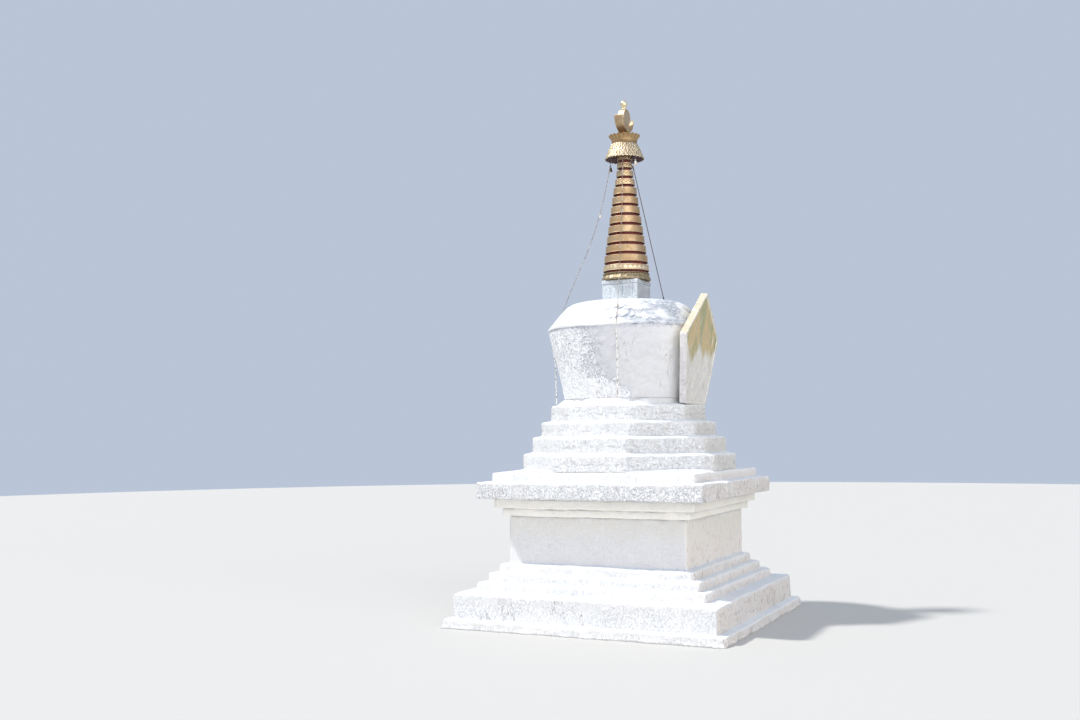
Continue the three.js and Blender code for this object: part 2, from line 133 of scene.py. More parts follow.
BELL = {"mouth": 0.042, "height": 0.084, "wall": 0.0038, "below": 0.013, "ring": 0.0135, "wire": 0.0040}

# Chains and guy wire: distance from the axis and height along the route, and the angle of each round the
# axis, in degrees from +X.
CHAIN_ROUTE = [(0.216, 9.290), (0.250, 9.100), (0.340, 8.600), (0.510, 7.880), (0.760, 7.180),
               (1.040, 6.560), (1.262, 6.030), (1.306, 5.915), (1.401, 5.788), (1.509, 5.646),
               (1.562, 5.594), (1.562, 5.550), (1.446, 4.960), (1.440, 4.600), (1.432, 4.200),
               (1.430, 4.095)]
CHAIN_ANGLES = {"chain_right": 14, "chain_back": 104, "chain_left": 194}
CHAIN_BELL_HEIGHTS = [7.930, 5.985]
CHAIN_BELL = {"mouth": 0.030, "height": 0.062, "wall": 0.003, "below": 0.034, "ring": 0.018, "wire": 0.003,
              "ring_below": 0.016, "lime": 0.6}
LINK = {"pitch": 0.042, "length": 0.054, "width": 0.024, "wire": 0.0034}
GUY = {"angle": 284, "radius": 0.008, "top": (0.163, 8.850), "foot": (0.745, 6.119), "sides": 21, "rows": 150}

# Camera and light

# The camera's place, its turn and tilt, and its lens, fitted to the photograph's perspective.
CAMERA_AT = Vector((-21.481, -8.4455, 3.5718))
CAMERA_YAW, CAMERA_PITCH, CAMERA_ROLL = (math.radians(a) for a in (25.75, 3.55, -0.55))
CAMERA_LENS, SENSOR_WIDTH = 38.95, 36.0
SUN_BEARING, SUN_HEIGHT = math.radians(118), math.radians(56)
FILL_BEARING, FILL_HEIGHT = math.radians(225), math.radians(13)


def towards(bearing, height):
    """The unit direction at a bearing from +X and a height above the level, both in radians."""
    return Vector((math.cos(bearing) * math.cos(height), math.sin(bearing) * math.cos(height),
                   math.sin(height)))


def set_camera():
    """A camera looks along the yaw and pitch directions; its right and up axes are turned by the roll."""
    ahead = towards(CAMERA_YAW, CAMERA_PITCH)
    level = Vector((math.sin(CAMERA_YAW), -math.cos(CAMERA_YAW), 0))
    upright = level.cross(ahead)
    right = math.cos(CAMERA_ROLL) * level + math.sin(CAMERA_ROLL) * upright
    up = math.cos(CAMERA_ROLL) * upright - math.sin(CAMERA_ROLL) * level
    data = bpy.data.cameras.new("photo_camera")
    data.lens, data.sensor_width = CAMERA_LENS, SENSOR_WIDTH
    data.clip_start, data.clip_end = 0.5, 300
    camera = bpy.data.objects.new("photo_camera", data)
    camera.matrix_world = Matrix((right, up, -ahead)).transposed().to_4x4()
    camera.location = CAMERA_AT
    bpy.context.collection.objects.link(camera)
    bpy.context.scene.camera = camera


def add_sun(name, bearing, height, strength, spread, colour):
    """A distant lamp that shines from a bearing and a height; a wide spread, in degrees, softens its
    shadows."""
    data = bpy.data.lights.new(name, "SUN")
    data.energy, data.angle, data.color = strength, math.radians(spread), colour
    lamp = bpy.data.objects.new(name, data)
    lamp.rotation_euler = towards(bearing, height).to_track_quat("Z", "Y").to_euler()
    bpy.context.collection.objects.link(lamp)


def set_light():
    """A key light high up from the back left, a very soft low one from the front for the light that pale
    ground throws back, and an even, slightly blue sky."""
    add_sun("key_light", SUN_BEARING, SUN_HEIGHT, strength=3.2, spread=4, colour=(1.0, 0.98, 0.94))
    add_sun("fill_light", FILL_BEARING, FILL_HEIGHT, strength=2.15, spread=75, colour=(1.0, 0.965, 0.92))
    world = bpy.data.worlds.new("pale_sky")
    world.use_nodes = True
    sky = world.node_tree.nodes["Background"]
    sky.inputs["Color"].default_value = (0.49, 0.56, 0.68, 1)
    sky.inputs["Strength"].default_value = 1.0
    bpy.context.scene.world = world
    bpy.context.scene.view_settings.view_transform = "Standard"
    bpy.context.scene.view_settings.exposure = 0.0


# Smooth noise and plaster relief

LATTICE_SIZE = 32
LATTICE = np.random.default_rng(11).random((LATTICE_SIZE,) * 3) * 2 - 1


def lumps(points, size):
    """Smooth value noise from -1 to 1. Every corner of a cube lattice of that cell size has a fixed random
    value, and a point blends its cell's eight corners with the ease curve 3t^2 - 2t^3."""
    scaled = np.asarray(points) / size
    cell = np.floor(scaled).astype(int)
    part = scaled - cell
    part = part * part * (3 - 2 * part)
    total = 0.0
    for corner in itertools.product((0, 1), repeat=3):
        at = (cell + corner) % LATTICE_SIZE
        weight = np.prod(np.where(corner, part, 1 - part), axis=-1)
        total = total + weight * LATTICE[at[..., 0], at[..., 1], at[..., 2]]
    return total


def plaster(points, strength=1.0, rough=1.0):
    """Height of hand-laid plaster: slow waves about a metre long, hand-sized swells, and stones under the
    limewash a few centimetres across, added together. Rough scales the stones alone."""
    slow = 0.008 * lumps(points, 0.95) + 0.005 * lumps(points + 7.3, 0.34)
    stones = 0.0034 * lumps(points + 3.1, 0.11) + 0.0030 * lumps(points + 5.7, 0.055)
    return strength * (slow + rough * stones)


# Meshes from grids of points

UP = np.array((0, 0, 1.0))


def angles(count):
    """Angles at even steps once round, from 0."""
    return np.arange(count) / count * 2 * math.pi


def outward(degrees):
    """The level direction away from the axis at an angle round it, in degrees from +X."""
    bearing = math.radians(degrees)
    return np.array((math.cos(bearing), math.sin(bearing), 0))


def grid_normals(rows, ring=False):
    """Unit normals of a grid of points: the cross product of the run along its columns and the run along
    its rows. Columns close round on themselves, and rows too where ring is set."""
    across = np.roll(rows, -1, axis=1) - np.roll(rows, 1, axis=1)
    along = np.roll(rows, -1, axis=0) - np.roll(rows, 1, axis=0) if ring else np.gradient(rows, axis=0)
    normals = np.cross(across, along)
    length = np.linalg.norm(normals, axis=-1, keepdims=True)
    return normals / np.maximum(length, 1e-12)


def faces_of(row_count, column_count, ring):
    """Quads between neighbouring rows and columns of a grid whose points are numbered row by row. Where
    rows aren't a ring, two more points are the middles of fans that close the first and last row."""
    rows = np.arange(row_count if ring else row_count - 1)[:, None]
    columns = np.arange(column_count)[None, :]
    after = (columns + 1) % column_count
    above = (rows + 1) % row_count
    corners = [rows * column_count + columns, rows * column_count + after,
               above * column_count + after, above * column_count + columns]
    quads = np.stack(np.broadcast_arrays(*corners), axis=-1).reshape(-1, 4)
    if ring:
        return quads
    column, after = columns[0], after[0]
    last = (row_count - 1) * column_count
    low = np.full(column_count, row_count * column_count)
    low_fan = np.stack([low, after, column, low], axis=-1)
    high_fan = np.stack([low + 1, last + column, last + after, low + 1], axis=-1)
    return np.vstack([quads, low_fan, high_fan])


def volume_sign(points, quads):
    """The sign of the enclosed volume: the sum over the faces of a . (b x c) for two triangles each."""
    a, b, c, d = (points[quads[:, i]] for i in range(4))
    total = np.einsum("ij,ij->", a, np.cross(b, c)) + np.einsum("ij,ij->", a, np.cross(c, d))
    return 1 if total > 0 else -1


def skin(rows, ring=False, edge=0.0, rise=0.0):
    """One closed skin: a grid whose columns close round on themselves, and its rows too where ring is set.
    Edge marks how near each point is to an edge or how far it stands out, and rise how high it lies on its
    wall or how deep inside, both from 0 to 1. The marks are kept beside the three coordinates."""
    marks = [np.broadcast_to(mark, rows.shape[:2])[..., None] for mark in (edge, rise)]
    return np.concatenate([rows, *marks], axis=-1), ring


def make_piece(name, node, finish, *skins, body="stupa"):
    """Joins skins into one mesh object that stands for a node. A finish is a material and its slot in the
    record; the slot is not used here. The faces are turned so that each skin's enclosed volume is positive."""
    material, slot = finish
    points, faces, offset = [], [], 0
    for rows, ring in skins:
        flat = rows.reshape(-1, rows.shape[-1])
        if not ring:
            flat = np.vstack([flat, rows[0].mean(axis=0), rows[-1].mean(axis=0)])
        quads = faces_of(*rows.shape[:2], ring)
        if volume_sign(flat[:, :3], quads) < 0:
            quads = quads[:, ::-1]
        points.append(flat)
        faces.append(quads + offset)
        offset += len(flat)
    points, faces = np.vstack(points), np.vstack(faces)
    is_fan = faces[:, 0] == faces[:, 3]
    polygons = faces[~is_fan].tolist() + faces[is_fan][:, :3].tolist()
    mesh = bpy.data.meshes.new(name)
    mesh.from_pydata(points[:, :3].tolist(), [], polygons)
    mesh.polygons.foreach_set("use_smooth", np.ones(len(polygons), dtype=bool))
    for key, column in (("edge", 3), ("rise", 4)):
        attribute = mesh.attributes.new(key, "FLOAT", "POINT")
        attribute.data.foreach_set("value", points[:, column].astype(np.float32))
    mesh.update()
    mesh.materials.append(material)
    piece = bpy.data.objects.new(name, mesh)
    bpy.context.collection.objects.link(piece)
    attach(piece, body)
    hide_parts(node)


def evenly(path, step):
    """Points along a path of straight runs, spaced about one step apart; every corner is kept."""
    path = np.asarray(path, dtype=float)
    runs = [a + (b - a) * np.arange(count)[:, None] / count
            for a, b in zip(path[:-1], path[1:])
            for count in [max(1, round(float(np.linalg.norm(b - a)) / step))]]
    return np.vstack(runs + [path[-1:]])


def softened(path, times=2):
    """Corner cutting: each run is replaced by its points at a quarter and three quarters, ends kept."""
    path = np.asarray(path, dtype=float)
    for _ in range(times):
        cut = np.stack([0.75 * path[:-1] + 0.25 * path[1:], 0.25 * path[:-1] + 0.75 * path[1:]], axis=1)
        path = np.vstack([path[:1], cut.reshape(-1, path.shape[1])[1:-1], path[-1:]])
    return path


# Outlines with corners: squares, eight-sided tiers and the niche's shield


def square(half):
    """The corners of a square, from its half width."""
    return np.array([(-half, -half), (half, -half), (half, half), (-half, half)])


def octagon(half, cut):
    """The corners of a square of that half width, each cut off by so much."""
    k = half - cut
    return np.array([(-k, -half), (k, -half), (half, -k), (half, k), (k, half), (-k, half), (-half, k),
                     (-half, -k)])


def bearings(corners, step):
    """Unit directions from the middle to points evenly spaced round an outline, its corners among them."""
    around = evenly(np.vstack([corners, corners[:1]]), step)[:-1]
    return around / np.linalg.norm(around, axis=-1, keepdims=True)


def reach(directions, corners, rounding=CORNER, inset=0.0):
    """Distance from the middle to an outline in each direction. Each side is a line at its own distance
    from the middle; the nearest one counts, and a high power mean of them rounds the corners."""
    sides = np.roll(corners, -1, axis=0) - corners
    normals = np.stack([sides[:, 1], -sides[:, 0]], axis=-1)
    normals /= np.linalg.norm(normals, axis=-1, keepdims=True)
    distances = np.einsum("ij,ij->i", normals, corners) - inset
    nearness = np.maximum(directions @ normals.T / distances, 1e-9)
    nearest = nearness.max(axis=-1, keepdims=True)
    power = 2.4 * float(distances.max()) / rounding
    return ((nearness / nearest) ** power).sum(axis=-1) ** (-1 / power) / nearest[..., 0]


def set_out(directions, out, height):
    """Points at a distance from the axis along level directions, and at a height."""
    height = np.broadcast_to(height, out.shape)
    return np.concatenate([directions[None] * out[..., None], height[..., None]], axis=-1)


# Masonry tiers


def tier_rows(corners, bottom, edge, top, foot, under, chips, joint):
    """A tier's skin as a grid. Its columns are the bearings round its outline. Its rows run from the
    underside, up the wall, over a rounded top edge whose height and roundness waver, and up the sloping
    top to the outline of the tier above. Chips is how far the corners are knocked off, and joint is the
    depth of the broken joint that runs round the middle of the wall. Returns the points, how near each is
    to the top edge, and how high it lies on the wall."""
    directions = bearings(corners, FACE_STEP)
    wall = reach(directions, corners)
    inner = reach(directions, foot) - LAP
    plan = directions * wall[:, None]
    along_edge = np.concatenate([plan, np.full((len(wall), 1), edge)], axis=-1)
    off_corner = np.linalg.norm(plan[:, None] - corners[None], axis=-1).min(axis=-1)
    nose = np.exp(-(off_corner / NOSE) ** 2)
    chipped = chips * nose * np.clip(0.55 + 0.7 * lumps(along_edge, 0.09), 0, 1.2)
    waver = lumps(along_edge, 0.42) + 0.6 * lumps(along_edge + 2.2, 0.13)
    arris = ARRIS * (1 + 0.45 * waver + nose * min(1.0, chips * 30))
    brim = edge + 0.010 * lumps(along_edge + 9.1, 0.7) + 0.007 * lumps(along_edge + 4.4, 0.19)

    stations = []
    start = bottom
    if under is not None:
        start = bottom + SOFFIT
        lower = reach(directions, under) - LAP
        for share in np.linspace(0, 1, 6)[:-1]:
            stations.append((lower + (wall - SOFFIT - lower) * share, bottom, 0.0, 0.0))
        for turn in np.linspace(0, math.pi / 2, 4)[:-1]:
            stations.append((wall - SOFFIT * (1 - math.sin(turn)), bottom + SOFFIT * (1 - math.cos(turn)),
                             0.5, 0.0))
    face_rows = max(4, round((edge - ARRIS - start) / FACE_STEP))
    broken = np.clip(0.4 + 1.3 * lumps(along_edge + 6.2, 0.5), 0, 1)
    line_at = 0.5 + 0.07 * lumps(along_edge + 1.7, 0.35)
    for share in np.linspace(0, 1, face_rows):
        height = start + (brim - arris - start) * share
        dent = joint * broken * np.exp(-((share - line_at) / 0.07) ** 2)
        stations.append((wall - chipped * (0.35 + 0.65 * share) - dent, height,
                         np.exp(-(brim - height - arris) / WEAR_REACH), share))
    for turn in np.linspace(0, math.pi / 2, 7)[1:]:
        stations.append((wall - chipped - arris * (1 - math.cos(turn)), brim - arris * (1 - math.sin(turn)),
                         1.0, 1.0))
    shoulder = wall - chipped - arris
    tread = float((wall - inner).mean())
    for share in np.linspace(0, 1, max(3, round(tread / TREAD_STEP)) + 1)[1:]:
        stations.append((shoulder + (inner - shoulder) * share, brim + (top - brim) * share,
                         math.exp(-share * tread / WEAR_REACH), 1.0))

    out, height, near, rise = (np.stack([np.broadcast_to(station[k], wall.shape) for station in stations])
                               for k in range(4))
    return set_out(directions, out, height), near, rise


def roughened(rows, strength, rough=1.0):
    """A grid pushed out along its own normals by the height of hand-laid plaster."""
    normals = grid_normals(rows)
    middle = rows.reshape(-1, 3).mean(axis=0)
    if np.einsum("ijk,ijk->", normals, rows - middle) < 0:
        normals = -normals
    return rows + normals * plaster(rows, strength, rough)[..., None]


def mortar_bank(rows):
    """Height of the bank of mortar at the foot of the vase: it rises evenly from near the edge of the last
    tier towards the foot ring, with a wavering outer line, and fades out on the right of the front."""
    radius = np.hypot(rows[..., 0], rows[..., 1])
    bearing = np.arctan2(rows[..., 1], rows[..., 0]) % (2 * math.pi)
    along = np.minimum(bearing - BANK["from"], BANK["to"] - bearing) / BANK["fade"]
    span = np.clip(along + 0.5 * lumps(rows, 0.3), 0, 1)
    slope = (BANK["outer"] + 0.03 * lumps(rows, 0.24) - radius) / BANK["width"]
    return BANK["rise"] * span * np.clip(slope, 0, 1)


def make_tiers(finishes):
    """Every tier from the ground to the foot of the vase, each standing a little inside its neighbour. The
    lowest one spreads in a ragged skirt where it meets the ground. Half widths come from the frame."""
    outlines = []
    for name, (*_, cut) in TIERS.items():
        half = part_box(name)[1][0]
        outlines.append(octagon(half, cut) if cut else square(half))
    for place, (name, (slope, chips, stones, cut)) in enumerate(TIERS.items()):
        low, high = (corner[2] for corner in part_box(name))
        outline, is_top = outlines[place], place + 1 == len(TIERS)
        foot = octagon(*VASE_SEAT) if is_top else outlines[place + 1]
        under = outlines[place - 1] if place else None
        overhangs = under is not None and outline[:, 0].max() > under[:, 0].max()
        bottom = low if overhangs or not place else low - LAP
        rows, near, rise = tier_rows(outline, bottom, high - slope, high, foot,
                                     under if overhangs else None, chips, JOINT if cut else 0.0)
        if not place:
            ragged = SKIRT["spread"] + SKIRT["ragged"] * lumps(rows, SKIRT["lump"])[..., None]
            skirt = np.exp(-rows[..., 2:] / SKIRT["fall"]) * ragged
            rows[..., :2] *= 1 + skirt / np.linalg.norm(rows[..., :2], axis=-1, keepdims=True)
        if is_top:
            rows[..., 2] += mortar_bank(rows) * (rise == 1.0)
        rows = roughened(rows, 1.0, stones)
        if not place:
            rows[..., 2] = np.maximum(rows[..., 2], 0.0)
        make_piece(f"{name}_limewash", name, finishes[name], skin(rows, edge=near, rise=rise))


# Round masonry


def turned(profile, columns):
    """A profile of (radius, height) carried round the axis: x = r cos a, y = r sin a, z = height."""
    angle = angles(columns)
    profile = np.asarray(profile)
    radius, height = profile[:, :1], profile[:, 1:]
    return np.stack([radius * np.cos(angle), radius * np.sin(angle),
                     np.broadcast_to(height, (len(profile), columns))], axis=-1)


def drips(angle, height):
    """Limewash lobes on the shoulder. Each row covers the wash above a line that hangs in round lobes of
    uneven width and ends sharply; the lobes fade out round the sides. Returns how thick the lobes are and
    how near the line is, both from 0 to 1; the nearness is painted as shadow under the lobes' edges."""
    thick, rim = 0.0, 0.0
    for level, count, depth in DRIP_ROWS:
        phase = angle * count / 2 + 2.2 * np.sin(7 * angle + level) + 1.3 * np.sin(17 * angle)
        line = level - depth * np.sqrt(np.abs(np.sin(phase))) + 0.03 * np.sin(9 * angle + 9 * level)
        thick = thick + np.clip((height - line) / 0.014, 0, 1) * np.clip((line + 0.11 - height) / 0.10, 0, 1)
        # Nearness to each row's edge, painted later as shadow under the lobes
        rim = rim + np.exp(-((height - line) / 0.015) ** 2)
    near = np.clip(2.4 * np.cos(2 * (angle - DRIP_BEARING)) - 1.3, 0, 1)
    return np.clip(thick, 0, 1) * near, np.clip(rim, 0, 1) * near


def ridge_waver(rows):
    """How far the ridge of the vase strays up and down: three waves round the vase, strongest at the
    ridge and gone a hand's width away."""
    angle = np.arctan2(rows[..., 1], rows[..., 0])
    stray = 0.007 * np.sin(5 * angle + 1) + 0.005 * np.sin(13 * angle + 2) + 0.004 * np.sin(31 * angle)
    return stray * np.exp(-np.abs(rows[..., 2] - RIDGE) / 0.06)


def make_vase(finish_wall, finish_shoulder):
    """The foot ring, the wall up to its ridge, and the shoulder with its limewash lobes."""
    columns = round(2 * math.pi * VASE_MIDDLE / FACE_STEP)
    low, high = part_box("vase_foot_ring")
    radius, bottom, top = high[0], low[2], high[2]
    foot = softened([(radius - 0.06, bottom - LAP), (radius - 0.004, bottom - LAP), (radius, bottom + 0.03),
                     (radius, top - 0.02), (radius - 0.02, top + 0.004), (radius - 0.1, top + 0.006)])
    rows = roughened(turned(evenly(foot, FACE_STEP), columns), 0.6)
    make_piece("vase_foot_ring_limewash", "vase_foot_ring", finish_wall, skin(rows))

    rows = roughened(turned(evenly(softened(VASE_WALL, 1), FACE_STEP), columns), 0.9, 2.3)
    rows[..., 2] += ridge_waver(rows)
    # Nearness to the ridge, which places the band of painted shade under it
    near = np.clip(np.exp(-(VASE_WALL[-1][1] - rows[..., 2]) / 0.035), 0, 1)
    make_piece("vase_wall_limewash", "vase_body", finish_wall, skin(rows, edge=near))

    rows = turned(evenly(softened(SHOULDER, 1), FACE_STEP * 0.6), columns)
    # The edges of the lobes are kept to be painted as shadow under them
    lobes, lobe_shadows = drips(angles(columns), rows[..., 2])
    rows = roughened(rows, 0.75) + grid_normals(rows) * (DRIP_DEPTH * lobes)[..., None]
    rows[..., 2] += ridge_waver(rows)
    near = np.exp(-np.abs(rows[..., 2] - RIDGE) / WEAR_REACH)
    make_piece("vase_shoulder_limewash", "vase_shoulder", finish_shoulder, skin(rows, edge=near, rise=lobe_shadows))


def make_harmika(finish):
    """The square block and its thin projecting cap band."""
    for name, rounding, strength, lap in (("harmika_block", 0.014, 0.45, LAP),
                                          ("harmika_cap", 0.010, 0.3, 0)):
        low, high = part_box(name)
        corners = square(high[0])
        directions = bearings(corners, FINE_STEP)
        bottom, top = low[2] - lap, high[2]
        profile = evenly([(-0.12, bottom), (0, bottom), (0, top - rounding),
                          (-0.4 * rounding, top - 0.4 * rounding), (-rounding, top), (-0.12, top)], 0.014)
        out = reach(directions, corners, rounding)[None] + profile[:, :1]
        rows = set_out(directions, out, profile[:, 1:])
        near = np.exp(-np.abs(rows[..., 2] - top + rounding) / 0.02)
        make_piece(f"{name}_limewash", name, finish, skin(roughened(rows, strength), edge=near))


# Niche plate


def shield():
    """The outline of the plate about its middle: a narrow foot, wide shoulders and a pointed top."""
    half, shoulder = NICHE_SHOULDER
    return np.array([(-NICHE_FOOT, 0), (NICHE_FOOT, 0), (half, shoulder), (0, NICHE_APEX),
                     (-half, shoulder)]) - (0, NICHE_MIDDLE)


def leaned(rows, base):
    """Points drawn upright in X and Z with their depth along Y, tipped outwards about the foot of the
    plate: y' = y cos t - z sin t and z' = y sin t + z cos t."""
    x, y, z = rows[..., 0], rows[..., 1], rows[..., 2]
    cos, sin = math.cos(NICHE_LEAN), math.sin(NICHE_LEAN)
    return np.stack([x, y * cos - z * sin + NICHE_FRONT, y * sin + z * cos + base], axis=-1)


def shield_rows(profile, corners, directions):
    """Rows of a shield: each entry of the profile is (inset from the outline, depth, share of the way in
    to the middle)."""
    rows = []
    for inset, depth, share in profile:
        out = reach(directions, corners, NICHE_CORNER, inset) * (1 - share)
        rows.append(np.stack([directions[:, 0] * out, np.full(len(out), depth),
                              directions[:, 1] * out + NICHE_MIDDLE], axis=-1))
    return np.stack(rows)


def make_niche(finish_plate, finish_border):
    """The leaning plate, and the flat border laid round its front."""
    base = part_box("niche_plate")[0][2]
    corners = shield()
    directions = bearings(corners, FINE_STEP)
    side = [(0.0, depth, 0) for depth in np.linspace(NICHE_THICK - 0.008, 0.008, 12)]
    panel = [(0.006, 0.0, share) for share in np.linspace(0, 0.985, 42)]
    profile = [(0.05, NICHE_THICK, 0), (0.006, NICHE_THICK, 0), *side, *panel]
    rows = leaned(roughened(shield_rows(profile, corners, directions), 0.42), base)
    near = np.zeros(rows.shape[:2])
    near[[1, 2, 13, 14]] = 1
    make_piece("niche_plate_plaster", "niche_plate", finish_plate, skin(rows, edge=near))

    lip, width = NICHE_LIP, NICHE_BORDER
    profile = [(0.001, 0.004, 0), (0.0, -lip * 0.5, 0), (0.004, -lip, 0), (width * 0.35, -lip, 0),
               (width * 0.7, -lip, 0), (width - 0.006, -lip, 0), (width, -lip * 0.6, 0),
               (width + 0.004, 0.004, 0)]
    rows = leaned(shield_rows(profile, corners, directions), base)
    swell = 0.0022 * lumps(rows, 0.11) + 0.0012 * lumps(rows, 0.04)
    rows = rows + grid_normals(rows, True) * swell[..., None]
    near = np.array([0, 1, 1, 0.2, 0.2, 1, 1, 0])[:, None]
    make_piece("niche_border_plaster", "niche_border", finish_border, skin(rows, True, near))


# Gilt spire


def dome(share):
    """A quarter circle that rises steeply from 0 and levels out at 1."""
    return np.sqrt(np.clip(1 - (1 - share) ** 2, 0, 1))


def within(share, low, high):
    """Whether a share of the way up lies between two others."""
    return (share > low) & (share < high)


def petals(angle, rise, count):
    """Height from 0 to 1 of a row of upright pointed petals. Across each petal the height falls as a
    circle, its half width narrows as a quarter circle towards the tip, and a rib runs up its middle."""
    across = np.abs((angle * count / (2 * math.pi)) % 1 - 0.5) * 2
    half = 0.94 * np.sqrt(np.clip(1 - np.clip(rise, 0, 1) ** 2, 0, 1)) + 1e-6
    inside = np.clip(1 - across / half, 0, 1)
    rib = 0.35 * np.exp(-(across / 0.09) ** 2) * (inside > 0)
    return 0.8 * dome(inside) + rib


def petal_row(angle, share, low, high, count):
    """Petals that stand between two shares of the way up, and nothing beyond."""
    return petals(angle, np.clip((share - low) / (high - low), 0, 1), count) * within(share, low, high)


def beads(angle, share, count, middle, spread):
    """A row of round beads about a share of the way up."""
    bead = dome((angle * count / (2 * math.pi)) % 1 * 2)
    return bead * np.exp(-((share - middle) / spread) ** 2)


def scrolls(angle, rise, count):
    """Height from 0 to 1 of a band of rolling scrollwork: a sine wave round the band times a cosine wave
    up it, each bent by the other, and cut off at 0 and 1."""
    turn = angle * count
    wave = np.sin(turn + 2.4 * np.sin(2 * math.pi * rise)) * np.cos(2 * math.pi * rise + 0.6 * np.sin(turn))
    return np.clip(0.5 + 0.9 * wave, 0, 1)


def embossed(profile, columns, pattern, depth):
    """A turned profile pushed out along its normals by depth times a pattern of angle and share of the
    way along the profile. Returns the rows and how high the pattern stands."""
    rows = turned(profile, columns)
    share = np.linspace(0, 1, len(profile))[:, None]
    height = np.broadcast_to(pattern(angles(columns)[None, :], share), rows.shape[:2])
    normals = grid_normals(rows)
    outwards = np.einsum("ijk,ijk->", normals[..., :2], rows[..., :2])
    normals = normals if outwards > 0 else -normals
    return rows + normals * (depth * height)[..., None], height


# The relief of one ring: plain bands have a faint hammered swell, the lowest ring has a row of small lappets
# and the top ones have scrollwork.
BANDS = {
    "plain": lambda angle, share: 0.5 + 0.18 * np.sin(3 * angle + 9 * share) * np.sin(5 * angle),
    "lappets": lambda angle, share: petal_row(angle, share, 0.2, 0.8, 28),
    "scrolls": lambda angle, share: scrolls(angle, share, 14) * within(share, 0.14, 0.86),
}


def ring_skin(low, high, outer_low, outer_high, inner, kind):
    """A flat ring as a closed loop of rows: up the outside, with a rolled bead at each edge and a slightly
    hollow band between them, over the top and down the inside. Its marks are how far the relief stands
    out, and how deep in the gaps each row lies, which darkens it partly as dark red paint and partly as
    painted shade."""
    height = high - low
    share = np.linspace(0, 1, 21)
    off_edge = np.minimum(share, 1 - share) * height
    outer = outer_low + (outer_high - outer_low) * share
    bead = 0.0035 * np.exp(-(off_edge / 0.009) ** 2)
    band = np.stack([outer - 0.003 + bead, low + height * share], axis=-1)
    rows, raised = embossed(band, ROUND_SIDES, BANDS[kind], 0.0055 if kind == "scrolls" else 0.004)
    lip = turned([(outer_high - 0.007, high - 0.0006), (outer_high - 0.03, high - 0.003),
                  (inner, high - 0.003), (inner, low + 0.003), (outer_low - 0.03, low + 0.003),
                  (outer_low - 0.007, low + 0.0006)], ROUND_SIDES)
    mark = np.maximum((off_edge < 0.008).astype(float)[:, None], raised * (kind != "plain"))
    # The top, inside and underside take the dark inside colour: partly dark red paint, partly painted shade
    deep = np.concatenate([np.zeros(len(share)), [0.35, 1.0, 1.0, 1.0, 1.0, 0.8]])[:, None]
    return skin(np.concatenate([rows, lip]), True, np.concatenate([mark, np.zeros(lip.shape[:2])]), deep)


def ring_names():
    """The nodes of the rings, from the lowest up."""
    return [f"spire_ring_{number:02d}" for number in range(1, RING_COUNT + 1)]


def make_rings(finishes):
    """Thirteen rings: lappets on the lowest, scrollwork on the top four, and plain ones between."""
    for place, node in enumerate(ring_names()):
        kind = "plain" if place else "lappets"
        kind = "scrolls" if place > 8 else kind
        low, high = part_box(node)
        outer = high[0]
        ring = ring_skin(low[2] + 0.006, high[2] - 0.003, outer, outer - RING_TAPER * (high[2] - low[2]),
                         outer - RING_DEPTH, kind)
        make_piece(f"{node}_gilt", node, finishes[kind], ring)


def make_lotus(finish):
    """A cushion with two rows of petals, one behind the other, and beads round its top."""
    low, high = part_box("lotus_ring")
    outer, bottom, top = high[0], low[2], high[2]
    height = top - bottom
    profile = evenly(softened([(0.2, bottom), (outer - 0.03, bottom), (outer - 0.008, bottom + 0.02),
                               (outer - 0.02, bottom + 0.05), (outer - 0.045, bottom + 0.62 * height),
                               (outer - 0.04, top - 0.03), (outer - 0.026, top - 0.018),
                               (outer - 0.03, top), (0.3, top)], 2), 0.0075)

    def pattern(angle, _):
        """Petals, the row behind them and the beads, on the outer side alone."""
        rise = (profile[:, 1:] - bottom) / height
        upper = petal_row(angle, rise, 0.08, 0.82, LOTUS_PETALS)
        behind = 0.6 * petal_row(angle + math.pi / LOTUS_PETALS, rise, 0.1, 0.88, LOTUS_PETALS)
        rim = 0.7 * beads(angle, rise, LOTUS_BEADS, 0.93, 0.035)
        return np.maximum(np.maximum(upper, behind), rim) * (profile[:, :1] > outer - 0.07)

    rows, raised = embossed(profile, LOTUS_PETALS * 14, pattern, 0.018)
    make_piece("lotus_ring_gilt", "lotus_ring", finish, skin(rows, edge=raised))


def make_core(finish):
    """The tapering red core: its radius follows the rings, each less the inset of the core."""
    low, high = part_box("spire_core")
    rings = [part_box(name) for name in ring_names()]
    steps = [(top[0] - CORE_INSET, (bottom[2] + top[2]) / 2) for bottom, top in rings]
    profile = [(steps[0][0] + 0.01, low[2]), *steps, (steps[-1][0], high[2])]
    rows = turned(evenly(profile, 0.05), ROUND_SIDES // 2)
    rows = rows + grid_normals(rows) * (0.0012 * lumps(rows, 0.06))[..., None]
    make_piece("spire_core_painted", "spire_core", finish, skin(rows))


# Canopy, crown, moon, sun and jewel


